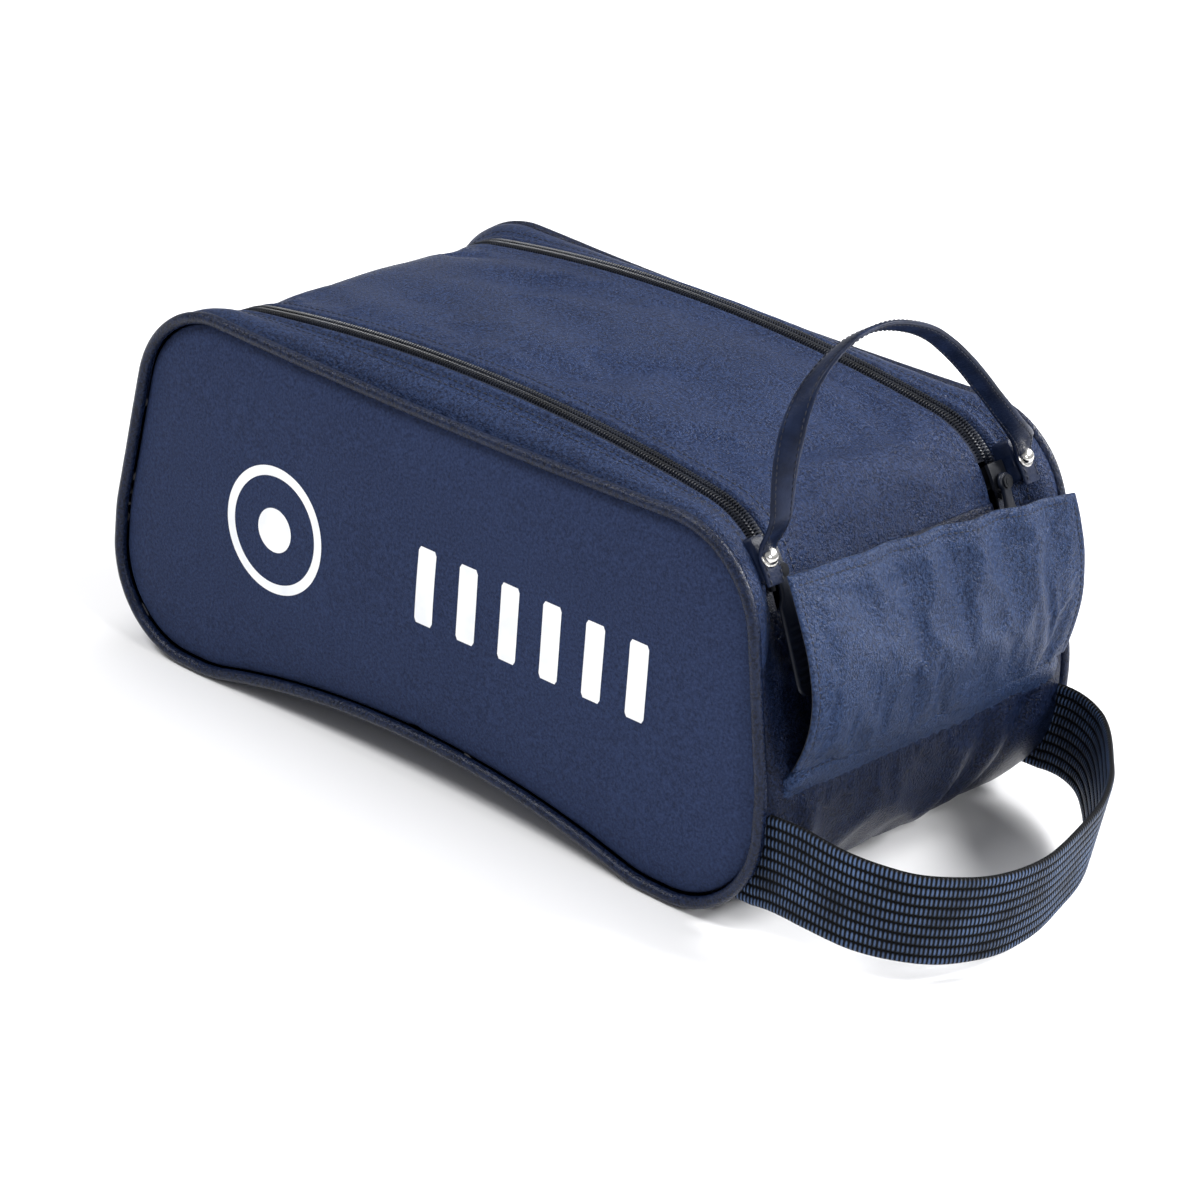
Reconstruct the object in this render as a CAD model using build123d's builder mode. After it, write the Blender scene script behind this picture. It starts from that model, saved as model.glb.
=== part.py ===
from build123d import *
from math import cos, radians, sin
import os

os.makedirs("parts", exist_ok=True)

# ---------------------------------------------------------------- driving dimensions (mm)
# The whole object, handle included, is centred on the origin and rests on Z = 0.
BAG_X = -36.4            # the bag's middle, so that bag and handle are centred together
PIPE_Y = 90.6            # centre of the piping round each side panel
PIPE_R = 2.5
CORD_R = 1.2             # filler cord inside the piping
PANEL_T = 2.4            # side panel fabric and foam
FOAM_T = 3.0
LINING_T = 0.8
WALL = 3.0               # gusset, end and base fabric laminated to foam
SEAM_Y = 88.0            # side seams, where panels and gussets meet
ZIP_Y = 66.0             # centre line of each zip
ZIP_OUT = 71.0           # outer edge of each zip, where the gusset begins
LID_Y = 61.0             # half width of the lid panel

# Side profile of the bag: rounded shoulders, ends that spread downwards, hollow base.
# shoulder: centre, radius, and the angles at which the top and the end leave it.
PANEL_FORM = dict(
    shoulder=(117.5, 109.5), radius=42.5, top=92.0, lean=8.0,
    hip=(169.5, 58.0), heel=171.0,
)
MID_FORM = dict(
    shoulder=(108.0, 112.0), radius=38.5, top=81.0, lean=24.0,
    hip=(170.0, 66.0), heel=172.5,
)
BELLY_X = 112.0          # half span of the hollow under the base
BELLY_RISE = 15.0
HIP_R = 60.0
HEEL_R = 42.0
BELLY_R = 60.0

BOARD_X = 100.0          # half length of the stiffening board on the base
BOARD_Y = 68.0
BOARD_T = 2.0
LID_FABRIC_T = 1.6
BINDING_T = 0.8
BINDING_W = 8.0
LID_EDGE_Z = 116.0       # height of the lid's free edge and of its fold at the other end
LID_GAP = 1.0
END_SPLIT_X = 112.0      # where the base panel meets the end panels
FAR = 200.0              # past the bag in every direction

# Zips: two tapes, two coils, a slider and a moulded puller on each.
TAPE_GAP = 0.9           # half the gap between the two tapes of a zip
TAPE_DEPTH = 1.0
TAPE_T = 1.0
COIL_W = 2.5
COIL_IN = 0.7            # from the zip's centre line to the coil's inner edge
COIL_PROUD = 1.0         # height of the coils above the fabric
STOP_L = 2.0
ZIP_END_ANGLE = 21.0     # where the zips end on the right shoulder
SLIDER_FROM = 24.0       # angles about the shoulder centre that the slider spans
SLIDER_TO = 38.0
SLIDER_W = 8.8
SLIDER_PLATE_T = 1.5
SLIDER_CLEAR = 0.4       # between the slider's plates and the chain
SLIDER_POST_W = 0.7
STUD_ANGLE = 27.0        # where the puller's stud stands on the slider
STUD_R = 1.5
STUD_H = 3.8
STUD_HEAD_R = 2.6
STUD_HEAD_T = 0.8
HANG_ANGLE = 23.5        # direction square to the upper part of the end
LID_ZIP_ANGLE = 41.0     # the lid's half of the zip ends above the parked slider
PULLER_L = 46.0          # stud to tip
PULLER_W = 9.0
PULLER_T = 2.4
PULLER_LIFT = 1.3        # from the stud's foot to the puller's underside
EYE_R = 3.6
EYE_HOLE_R = 1.8
NECK_W = 4.6
RIB_PITCH = 4.0
RIB_COUNT = 6
GROOVE_W = 1.2
GROOVE_DEPTH = 0.5

# End flap that covers the lid's free edge.
FLAP_Y = 80.0
FLAP_LINE = (            # outer face of the flap, from its foot to its top edge
    (174.0, 66.0), (176.5, 98.0), (175.5, 118.0), (172.0, 133.0),
)
FLAP_T = 1.2             # each of the flap's two layers
FLAP_FOOT_X = 173.2
FLAP_FOOT_Z = (55.0, 65.2)

# Hang loop: a leather strap riveted at both ends to pads on the gussets.
LOOP_T = 2.4
LOOP_W = 9.0
LOOP_LEAN = (0.82, 0, 0.57)  # direction across the strap's width
LOOP_X = 149.0           # inner edge of the strap
LOOP_PIVOT = (152.7, 151.0)
LOOP_END_R = 3.7
STRAP_STEPS = 20         # stations along a bent strap
LOOP_GAP = 0.25
LOOP_LINE = (            # middle of the strap, seen from the end
    (-76.5, 139.0), (-76.7, 152.0), (-77.5, 178.0), (-71.0, 201.0), (-50.0, 215.5),
    (-20.0, 215.5), (21.0, 193.0), (44.0, 173.0), (68.0, 153.0), (78.0, 141.0),
)
RIVET_Y = 75.2
RIVET_R = 3.5
RIVET_DOME = 2.6
POST_R = 1.5
RIVET_FOOT = 33.0        # inner end of the rivet's post, from the shoulder centre
WASHER_R = 3.8
WASHER_T = 1.0
RIVET_ANGLE = 35.0       # direction of the rivets from the middle form's shoulder centre
PAD_TOP = 46.4           # distance of the pad's face from that centre
RIVET_SEAT = PAD_TOP + LOOP_T
PAD_W = 8.2
PAD_L = 17.0
STRAP_NECK_T = 2.4
BACK_NECK_Y = 66.4       # the strap slants inwards to the back rivet

# Carry handle: a band of ribbed webbing standing on edge.
HANDLE_X = 193.0         # swing axis
HANDLE_Z = 31.0
HANDLE_H = 38.0
HANDLE_T = 3.0
HANDLE_Y = 87.0          # outer face of the band where it leaves the seams
HANDLE_DROOP = 9.5       # degrees that the band hangs below level
HANDLE_END_GAP = 0.4
STUB_X = (-28.0, -17.0)  # the sewn-in end of the band, measured from the swing axis
HANDLE_LINE = (          # middle of the band, seen from above
    (173.0, -85.5), (184.0, -85.7), (193.0, -85.5), (211.0, -80.5), (227.0, -67.0),
    (238.0, -42.0), (239.5, -15.0), (233.0, 20.0), (221.0, 50.0), (208.0, 72.0),
    (193.0, 83.5), (184.0, 85.5), (173.0, 85.6),
)

# Print on the front panel: a plain roundel and a row of upright bars.
INK_T = 0.25
ROUNDEL = (-79.0, 76.0)
ROUNDEL_R = (26.0, 22.0, 9.0)
BARS_FROM = 2.0
BAR_COUNT = 6
BAR_PITCH = 21.0
BAR_SIZE = (9.0, 31.0)
BAR_Z = 81.0


PLATE_OUT_R = MID_FORM["radius"] + COIL_PROUD + SLIDER_CLEAR
PLATE_IN_R = MID_FORM["radius"] - TAPE_DEPTH - TAPE_T - SLIDER_CLEAR


def side(y):
    """Plane across the bag at height y on the Y axis: sketch X is X, sketch Y is Z."""
    return Plane(origin=(BAG_X, y, 0), x_dir=(1, 0, 0), z_dir=(0, -1, 0))


def on_shoulder(form, angle, radius=None):
    """Point at an angle round a form's right shoulder."""
    x, z = form["shoulder"]
    r = form["radius"] if radius is None else radius
    return (x + r * cos(radians(angle)), z + r * sin(radians(angle)))


def crown_height(form):
    """Height of the middle of the top, whose arc runs smoothly into both shoulders."""
    x, z = form["shoulder"]
    to_centre = -x / cos(radians(form["top"]))
    return z + form["radius"] - to_centre * (1 - sin(radians(form["top"])))


def mirrored(point):
    return (-point[0], point[1])


def profile(form, inset=0.0):
    """Closed side profile of the bag, or a smaller one inside it."""
    top = on_shoulder(form, form["top"])
    end = on_shoulder(form, form["lean"])
    shoulder = form["shoulder"]
    turn = form["top"] - form["lean"]
    with BuildSketch(Plane.XY) as outline:
        with BuildLine():
            ThreePointArc(mirrored(top), (0, crown_height(form)), top)
            CenterArc(shoulder, form["radius"], form["lean"], turn)
            Polyline(end, form["hip"], (form["heel"], 0), (BELLY_X, 0))
            ThreePointArc((BELLY_X, 0), (0, BELLY_RISE), (-BELLY_X, 0))
            Polyline((-BELLY_X, 0), (-form["heel"], 0), mirrored(form["hip"]), mirrored(end))
            CenterArc(mirrored(shoulder), form["radius"], 180 - form["top"], turn)
        make_face()
        hips = outline.vertices().filter_by(lambda v: abs(v.Y - form["hip"][1]) < 0.1)
        fillet(hips, HIP_R)
        heels = outline.vertices().filter_by(lambda v: abs(v.X) > form["heel"] - 0.1 and v.Y < 1)
        fillet(heels, HEEL_R)
        belly = outline.vertices().filter_by(lambda v: abs(abs(v.X) - BELLY_X) < 0.1 and v.Y < 1)
        fillet(belly, BELLY_R)
        if inset:
            offset(amount=-inset, mode=Mode.REPLACE)
    return outline.sketch


def ring(form, inset_out, inset_in):
    """Band between two insets of a side profile."""
    with BuildSketch(Plane.XY) as band:
        add(profile(form, inset_out))
        add(profile(form, inset_in), mode=Mode.SUBTRACT)
    return band.sketch


def shoulder_sector(r_in, r_out, angle_from, angle_to):
    """Curved bar round the right shoulder, as a face in the side profile."""
    with BuildSketch(Plane.XY) as sector:
        with BuildLine():
            low = CenterArc(MID_FORM["shoulder"], r_in, angle_from, angle_to - angle_from)
            high = CenterArc(MID_FORM["shoulder"], r_out, angle_from, angle_to - angle_from)
            Line(low @ 0, high @ 0)
            Line(low @ 1, high @ 1)
        make_face()
    return sector.sketch


def strap(points, thickness):
    """Edge-on outline of a bent strap whose middle runs smoothly through the points."""
    middle = Spline(*points, mode=Mode.PRIVATE)
    faces = []
    for half in (thickness / 2, -thickness / 2):
        face = []
        for step in range(STRAP_STEPS + 1):
            along = middle.tangent_at(step / STRAP_STEPS)
            across = Vector(-along.Y, along.X, 0)
            face.append(middle.position_at(step / STRAP_STEPS) + across * half)
        faces.append(face)
    with BuildSketch(Plane.XY) as outline:
        with BuildLine():
            for face in faces:
                Spline(*face)
            Line(faces[0][0], faces[1][0])
            Line(faces[0][-1], faces[1][-1])
        make_face()
    return outline.sketch


def box_mask(x0, x1, y0, y1, z0, z1):
    """Block between two corners, for keeping part of a shell."""
    block = Box(x1 - x0, y1 - y0, z1 - z0, mode=Mode.PRIVATE)
    return block.moved(Location((BAG_X + (x0 + x1) / 2, (y0 + y1) / 2, (z0 + z1) / 2)))


# ---------------------------------------------------------------- the bag's form
panel_profile = profile(PANEL_FORM)
mid_profile = profile(MID_FORM)

with BuildPart() as outer_form:
    with BuildSketch(side(-SEAM_Y)):
        add(panel_profile)
    with BuildSketch(side(-ZIP_OUT)):
        add(mid_profile)
    loft(ruled=True)
    mirror(about=Plane.XZ)
    with BuildSketch(side(ZIP_OUT)):
        add(mid_profile)
    extrude(amount=2 * ZIP_OUT)

with BuildPart() as inner_form:
    with BuildSketch(side(-SEAM_Y)):
        add(profile(PANEL_FORM, WALL))
    with BuildSketch(side(-ZIP_OUT)):
        add(profile(MID_FORM, WALL))
    loft(ruled=True)
    mirror(about=Plane.XZ)
    with BuildSketch(side(ZIP_OUT)):
        add(profile(MID_FORM, WALL))
    extrude(amount=2 * ZIP_OUT)

with BuildPart() as liner_form:
    with BuildSketch(side(-SEAM_Y)):
        add(profile(PANEL_FORM, WALL + LINING_T))
    with BuildSketch(side(-ZIP_OUT)):
        add(profile(MID_FORM, WALL + LINING_T))
    loft(ruled=True)
    mirror(about=Plane.XZ)
    with BuildSketch(side(ZIP_OUT)):
        add(profile(MID_FORM, WALL + LINING_T))
    extrude(amount=2 * ZIP_OUT)

with BuildPart() as shell:
    add(outer_form.part)
    add(inner_form.part, mode=Mode.SUBTRACT)

# ---------------------------------------------------------------- rivet axes
rivet_dir = (cos(radians(RIVET_ANGLE)), 0, sin(radians(RIVET_ANGLE)))


def rivet_plane(y, distance):
    """Plane square to the rivets, at a distance from the shoulder centre."""
    x, z = on_shoulder(MID_FORM, RIVET_ANGLE, distance)
    return Plane(origin=(BAG_X + x, y, z), x_dir=(0, 1, 0), z_dir=rivet_dir)


with BuildPart() as rivet_holes:
    for y in (-RIVET_Y, RIVET_Y):
        with BuildSketch(rivet_plane(y, RIVET_FOOT)):
            Circle(POST_R)
        extrude(amount=RIVET_SEAT - RIVET_FOOT)

# ---------------------------------------------------------------- side panels and piping
for name, sign in (("front", -1), ("back", 1)):
    y_in = sign * SEAM_Y
    y_out = sign * (SEAM_Y + PANEL_T)
    with BuildPart() as panel:
        with BuildSketch(side(max(y_in, y_out))):
            add(profile(PANEL_FORM, 2 * PIPE_R + 0.1))
        extrude(amount=PANEL_T)
    panel.part.label = name + "_panel"
    export_step(panel.part, "parts/" + name + "_panel.step")

    with BuildPart() as foam:
        add(inner_form.part)
        y_foam = sign * (SEAM_Y - FOAM_T)
        add(box_mask(-FAR, FAR, min(y_in, y_foam), max(y_in, y_foam), -1, FAR), mode=Mode.INTERSECT)
    foam.part.label = name + "_panel_foam"
    export_step(foam.part, "parts/" + name + "_panel_foam.step")

    rim = (side(sign * PIPE_Y) * profile(PANEL_FORM, PIPE_R)).face().outer_wire()
    start = Plane(origin=rim @ 0, x_dir=(0, 1, 0), z_dir=rim % 0)
    with BuildPart() as piping:
        with BuildSketch(start):
            Circle(PIPE_R)
            Circle(CORD_R, mode=Mode.SUBTRACT)
        sweep(path=rim)
    piping.part.label = name + "_piping"
    export_step(piping.part, "parts/" + name + "_piping.step")

    with BuildPart() as piping_cord:
        with BuildSketch(start):
            Circle(CORD_R)
        sweep(path=rim)
    piping_cord.part.label = name + "_piping_cord"
    export_step(piping_cord.part, "parts/" + name + "_piping_cord.step")

    with BuildPart() as gusset:
        add(shell.part)
        y_zip = sign * ZIP_OUT
        mask = box_mask(-FAR, FAR, min(y_in, y_zip), max(y_in, y_zip), LID_EDGE_Z, FAR)
        add(mask, mode=Mode.INTERSECT)
        add(rivet_holes.part, mode=Mode.SUBTRACT)
    gusset.part.label = name + "_gusset"
    export_step(gusset.part, "parts/" + name + "_gusset.step")

# ---------------------------------------------------------------- ends, base and linings
with BuildPart() as left_end_panel:
    add(shell.part)
    add(box_mask(-FAR, -END_SPLIT_X, -FAR, FAR, -1, LID_EDGE_Z), mode=Mode.INTERSECT)
left_end_panel.part.label = "left_end_panel"
export_step(left_end_panel.part, "parts/left_end_panel.step")

with BuildPart() as right_end_panel:
    add(shell.part)
    add(box_mask(END_SPLIT_X, FAR, -FAR, FAR, -1, LID_EDGE_Z), mode=Mode.INTERSECT)
right_end_panel.part.label = "right_end_panel"
export_step(right_end_panel.part, "parts/right_end_panel.step")

with BuildPart() as base_panel:
    add(shell.part)
    mask = box_mask(-END_SPLIT_X, END_SPLIT_X, -FAR, FAR, -1, LID_EDGE_Z)
    add(mask, mode=Mode.INTERSECT)
base_panel.part.label = "base_panel"
export_step(base_panel.part, "parts/base_panel.step")

lining_y = SEAM_Y - FOAM_T
with BuildPart() as lining_hollow:
    add(liner_form.part)
    hollow_y = lining_y - LINING_T
    add(box_mask(-FAR, FAR, -hollow_y, hollow_y, -1, FAR), mode=Mode.INTERSECT)

with BuildPart() as lining:
    add(inner_form.part)
    add(box_mask(-FAR, FAR, -lining_y, lining_y, -1, FAR), mode=Mode.INTERSECT)
    add(lining_hollow.part, mode=Mode.SUBTRACT)
    add(box_mask(-FAR, FAR, -ZIP_OUT, ZIP_OUT, LID_EDGE_Z, FAR), mode=Mode.SUBTRACT)
    add(rivet_holes.part, mode=Mode.SUBTRACT)
lining.part.label = "lining"
export_step(lining.part, "parts/lining.step")

with BuildPart() as base_board:
    with BuildSketch(side(BOARD_Y)):
        add(ring(MID_FORM, WALL + LINING_T, WALL + LINING_T + BOARD_T))
    extrude(amount=2 * BOARD_Y)
    add(box_mask(-BOARD_X, BOARD_X, -FAR, FAR, -1, 40), mode=Mode.INTERSECT)
base_board.part.label = "base_board"
export_step(base_board.part, "parts/base_board.step")

# ---------------------------------------------------------------- lid
LID_LAYERS = (
    ("lid_panel", 0.0, LID_FABRIC_T, LID_Y),
    ("lid_foam", LID_FABRIC_T, LID_FABRIC_T + FOAM_T, LID_Y - 2),
    ("lid_lining", LID_FABRIC_T + FOAM_T, LID_FABRIC_T + FOAM_T + LINING_T, LID_Y - 2),
)
for name, outside, inside, half_width in LID_LAYERS:
    with BuildPart() as layer:
        with BuildSketch(side(half_width)):
            add(ring(MID_FORM, outside, inside))
        extrude(amount=2 * half_width)
        add(box_mask(-FAR, FAR, -FAR, FAR, LID_EDGE_Z + LID_GAP, FAR), mode=Mode.INTERSECT)
    layer.part.label = name
    export_step(layer.part, "parts/" + name + ".step")

with BuildPart() as lid_edge_binding:
    with BuildSketch(side(LID_Y)):
        add(ring(MID_FORM, -BINDING_T, 0))
    extrude(amount=2 * LID_Y)
    z_low = LID_EDGE_Z + LID_GAP
    add(box_mask(100, FAR, -FAR, FAR, z_low, z_low + BINDING_W), mode=Mode.INTERSECT)
lid_edge_binding.part.label = "lid_edge_binding"
export_step(lid_edge_binding.part, "parts/lid_edge_binding.step")

# ---------------------------------------------------------------- zips
tape_ring = ring(MID_FORM, TAPE_DEPTH, TAPE_DEPTH + TAPE_T)
coil_ring = ring(MID_FORM, -COIL_PROUD, TAPE_DEPTH)
zip_end_z = on_shoulder(MID_FORM, ZIP_END_ANGLE)[1]
lid_zip_z = on_shoulder(MID_FORM, LID_ZIP_ANGLE)[1]


for name, sign in (("front", -1), ("back", 1)):
    zip_y = sign * ZIP_Y
    # each half: which side of the centre line, how far its tape reaches, where it ends
    HALVES = (
        ("bag", sign, ZIP_OUT - ZIP_Y, LID_EDGE_Z, LID_EDGE_Z, zip_end_z),
        ("lid", -sign, ZIP_Y - LID_Y, LID_EDGE_Z + LID_GAP, lid_zip_z, lid_zip_z),
    )
    for half, way, reach, left_z, tape_z, coil_z in HALVES:
        y_near = zip_y + way * TAPE_GAP
        y_far = zip_y + way * reach
        with BuildPart() as tape:
            with BuildSketch(side(max(y_near, y_far))):
                add(tape_ring)
            extrude(amount=abs(y_far - y_near))
            keep = box_mask(-FAR, 0, -FAR, FAR, left_z, FAR) + box_mask(0, FAR, -FAR, FAR, tape_z, FAR)
            add(keep, mode=Mode.INTERSECT)
        tape.part.label = name + "_zip_tape_" + half
        export_step(tape.part, "parts/" + name + "_zip_tape_" + half + ".step")

        y_near = zip_y + way * COIL_IN
        y_far = zip_y + way * (COIL_IN + COIL_W)
        with BuildPart() as coil:
            with BuildSketch(side(max(y_near, y_far))):
                add(coil_ring)
            extrude(amount=COIL_W)
            keep = box_mask(-FAR, 0, -FAR, FAR, left_z + 2, FAR)
            keep = keep + box_mask(0, FAR, -FAR, FAR, coil_z, FAR)
            add(keep, mode=Mode.INTERSECT)
        coil.part.label = name + "_zip_coil_" + half
        export_step(coil.part, "parts/" + name + "_zip_coil_" + half + ".step")

    y_near = zip_y + sign * COIL_IN
    y_far = zip_y + sign * (COIL_IN + COIL_W)
    with BuildPart() as zip_stops:
        with BuildSketch(side(max(y_near, y_far))):
            add(coil_ring)
        extrude(amount=COIL_W)
        right_stop = box_mask(0, FAR, -FAR, FAR, zip_end_z - STOP_L - 0.2, zip_end_z - 0.2)
        left_stop = box_mask(-FAR, 0, -FAR, FAR, LID_EDGE_Z, LID_EDGE_Z + STOP_L - 0.2)
        add(right_stop + left_stop, mode=Mode.INTERSECT)
    zip_stops.part.label = name + "_zip_stops"
    export_step(zip_stops.part, "parts/" + name + "_zip_stops.step")

    # slider: two curved plates joined by a post that stands between the coils
    inner_plate = shoulder_sector(PLATE_IN_R - SLIDER_PLATE_T, PLATE_IN_R, SLIDER_FROM, SLIDER_TO)
    outer_plate = shoulder_sector(PLATE_OUT_R, PLATE_OUT_R + SLIDER_PLATE_T, SLIDER_FROM, SLIDER_TO)
    post = shoulder_sector(PLATE_IN_R - 0.5, PLATE_OUT_R + 0.5, SLIDER_TO - 5, SLIDER_TO)
    stud_x, stud_z = on_shoulder(MID_FORM, STUD_ANGLE, PLATE_OUT_R + 0.5)
    stud_plane = Plane(
        origin=(BAG_X + stud_x, zip_y, stud_z), x_dir=(0, 1, 0),
        z_dir=(cos(radians(HANG_ANGLE)), 0, sin(radians(HANG_ANGLE))),
    )
    with BuildPart() as slider:
        with BuildSketch(side(zip_y + SLIDER_W / 2)):
            add(inner_plate)
            add(outer_plate)
        extrude(amount=SLIDER_W)
        with BuildSketch(side(zip_y + SLIDER_POST_W / 2)):
            add(post)
        extrude(amount=SLIDER_POST_W)
        with BuildSketch(stud_plane):
            Circle(STUD_R)
        extrude(amount=STUD_H + 1)
        with BuildSketch(stud_plane.offset(STUD_H)):
            Circle(STUD_HEAD_R)
        extrude(amount=STUD_HEAD_T)
    slider.part.label = name + "_slider"
    export_step(slider.part, "parts/" + name + "_slider.step")

    # puller: an eye round the stud and a ribbed grip that hangs down the end
    eye_plane = stud_plane.offset(PULLER_LIFT)
    grip_from = EYE_R + PULLER_W / 2 + 2
    grip_to = PULLER_L - PULLER_W / 2
    with BuildPart() as puller:
        with BuildSketch(eye_plane):
            Circle(EYE_R)
            with Locations((0, -(grip_from + grip_to) / 2)):
                SlotCenterToCenter(grip_to - grip_from, PULLER_W, rotation=90)
            with Locations((0, -grip_from / 2)):
                Rectangle(NECK_W, grip_from)
            Circle(EYE_HOLE_R, mode=Mode.SUBTRACT)
        extrude(amount=PULLER_T)
        with BuildSketch(eye_plane.offset(PULLER_T)):
            for rib in range(RIB_COUNT):
                with Locations((0, -(grip_to - rib * RIB_PITCH))):
                    Rectangle(PULLER_W - 2, GROOVE_W)
        extrude(amount=-GROOVE_DEPTH, mode=Mode.SUBTRACT)
    puller.part.label = name + "_puller"
    export_step(puller.part, "parts/" + name + "_puller.step")

# ---------------------------------------------------------------- end flap
for name, depth in (("end_flap", 0.0), ("end_flap_lining", FLAP_T)):
    face = [(x - depth, z) for x, z in FLAP_LINE]
    back = [(x - depth - FLAP_T, z) for x, z in reversed(FLAP_LINE)]
    with BuildPart() as flap_layer:
        with BuildSketch(side(FLAP_Y)):
            Polygon(*face, *back, align=None)
        extrude(amount=2 * FLAP_Y)
    flap_layer.part.label = name
    export_step(flap_layer.part, "parts/" + name + ".step")

with BuildPart() as flap_foot:
    add(box_mask(160, FLAP_FOOT_X, -FLAP_Y, FLAP_Y, FLAP_FOOT_Z[0], FLAP_FOOT_Z[1]))
    add(outer_form.part, mode=Mode.SUBTRACT)
flap_foot.part.label = "flap_seam_strip"
export_step(flap_foot.part, "parts/flap_seam_strip.step")

# ---------------------------------------------------------------- hang loop
end_plane = Plane(origin=(BAG_X + LOOP_X, 0, 0), x_dir=(0, 1, 0), z_dir=(1, 0, 0))
pivot_x, pivot_z = LOOP_PIVOT
pivot_axis = Plane(origin=(BAG_X + pivot_x, 100, pivot_z), x_dir=(1, 0, 0), z_dir=(0, -1, 0))

with BuildPart() as below_pivot:
    add(box_mask(100, FAR, -FAR, FAR, 0, pivot_z))
    with BuildSketch(pivot_axis):
        Circle(LOOP_END_R)
    extrude(amount=FAR, mode=Mode.SUBTRACT)

loop_outline = strap(LOOP_LINE, LOOP_T)
with BuildPart() as hang_loop:
    with BuildSketch(end_plane):
        add(loop_outline)
    extrude(amount=LOOP_W, dir=LOOP_LEAN)
    add(below_pivot.part, mode=Mode.SUBTRACT)
hang_loop.part.label = "hang_loop"
export_step(hang_loop.part, "parts/hang_loop.step")

plate_end = on_shoulder(MID_FORM, RIVET_ANGLE, PAD_TOP + LOOP_T / 2)
reach = PAD_L / 2 - 1
neck_foot = (
    plate_end[0] - reach * sin(radians(RIVET_ANGLE)),
    plate_end[1] + reach * cos(radians(RIVET_ANGLE)),
)
with BuildSketch(Plane.XY) as neck:
    with BuildLine():
        Line(LOOP_PIVOT, neck_foot)
        offset(amount=STRAP_NECK_T / 2, side=Side.BOTH)
    make_face()
neck_face = neck.sketch

for name, sign in (("front", -1), ("back", 1)):
    y_rivet = sign * RIVET_Y
    y_outer = sign * (RIVET_Y + PAD_W / 2)
    y_neck = y_rivet - sign * PAD_W / 2 if name == "front" else BACK_NECK_Y

    with BuildPart() as loop_pad:
        with BuildSketch(rivet_plane(y_rivet, PAD_TOP)):
            RectangleRounded(PAD_W, PAD_L, 2)
        extrude(amount=-12)
        add(outer_form.part, mode=Mode.SUBTRACT)
        add(rivet_holes.part, mode=Mode.SUBTRACT)
    loop_pad.part.label = name + "_loop_pad"
    export_step(loop_pad.part, "parts/" + name + "_loop_pad.step")

    with BuildPart() as loop_end:
        with BuildSketch(rivet_plane(y_rivet, PAD_TOP)):
            RectangleRounded(PAD_W, PAD_L, 2)
        extrude(amount=LOOP_T)
        with BuildSketch(side(max(y_outer, y_neck))):
            add(neck_face)
            with Locations(LOOP_PIVOT):
                Circle(LOOP_END_R + LOOP_GAP, mode=Mode.SUBTRACT)
        extrude(amount=abs(y_outer - y_neck))
        add(rivet_holes.part, mode=Mode.SUBTRACT)
    loop_end.part.label = name + "_loop_end"
    export_step(loop_end.part, "parts/" + name + "_loop_end.step")

    with BuildPart() as rivet:
        with BuildSketch(rivet_plane(y_rivet, RIVET_SEAT)):
            Circle(RIVET_R)
        extrude(amount=RIVET_DOME)
        fillet(rivet.edges().group_by(Axis(rivet_plane(y_rivet, 0).origin, rivet_dir))[-1], RIVET_DOME - 0.5)
        with BuildSketch(rivet_plane(y_rivet, RIVET_FOOT)):
            Circle(POST_R)
        extrude(amount=RIVET_SEAT - RIVET_FOOT)
    rivet.part.label = name + "_rivet"
    export_step(rivet.part, "parts/" + name + "_rivet.step")

    with BuildPart() as rivet_washer:
        with BuildSketch(rivet_plane(y_rivet, RIVET_FOOT)):
            Circle(WASHER_R)
            Circle(POST_R, mode=Mode.SUBTRACT)
        extrude(amount=WASHER_T)
    rivet_washer.part.label = name + "_rivet_washer"
    export_step(rivet_washer.part, "parts/" + name + "_rivet_washer.step")

# ---------------------------------------------------------------- carry handle
half_h = HANDLE_H / 2
handle_pivot = Plane(
    origin=(BAG_X + HANDLE_X, 100, HANDLE_Z), x_dir=(1, 0, 0), z_dir=(0, -1, 0)
)
with BuildPart() as before_pivot:
    add(box_mask(100, HANDLE_X, -FAR, FAR, 0, FAR))
    with BuildSketch(handle_pivot):
        Circle(half_h)
    extrude(amount=FAR, mode=Mode.SUBTRACT)

handle_outline = strap(HANDLE_LINE, HANDLE_T)
with BuildPart() as carry_handle:
    with BuildSketch(Plane(origin=(BAG_X, 0, HANDLE_Z - half_h))):
        add(handle_outline)
    extrude(amount=HANDLE_H)
    add(before_pivot.part, mode=Mode.SUBTRACT)
handle_axis = Axis((BAG_X + HANDLE_X, 0, HANDLE_Z), (0, 1, 0))
carry_handle.part = carry_handle.part.rotate(handle_axis, HANDLE_DROOP)
carry_handle.part.label = "carry_handle"
export_step(carry_handle.part, "parts/carry_handle.step")

for name, sign in (("front", -1), ("back", 1)):
    y_face = (sign * HANDLE_Y, sign * (HANDLE_Y - HANDLE_T))
    with BuildPart() as handle_end:
        stub_middle = (BAG_X + HANDLE_X + sum(STUB_X) / 2, sum(y_face) / 2, HANDLE_Z)
        with Locations(stub_middle):
            Box(STUB_X[1] - STUB_X[0], HANDLE_T, HANDLE_H)
        with BuildSketch(handle_pivot):
            Circle(half_h + HANDLE_END_GAP)
        extrude(amount=FAR, mode=Mode.SUBTRACT)
        add(outer_form.part, mode=Mode.SUBTRACT)
    handle_end.part.label = name + "_handle_end"
    export_step(handle_end.part, "parts/" + name + "_handle_end.step")

# ---------------------------------------------------------------- print on the front panel
ink_plane = side(-(SEAM_Y + PANEL_T))
with BuildPart() as print_roundel:
    with BuildSketch(ink_plane):
        with Locations(ROUNDEL):
            Circle(ROUNDEL_R[0])
            Circle(ROUNDEL_R[1], mode=Mode.SUBTRACT)
            Circle(ROUNDEL_R[2])
    extrude(amount=INK_T)
print_roundel.part.label = "print_roundel"
export_step(print_roundel.part, "parts/print_roundel.step")

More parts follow.
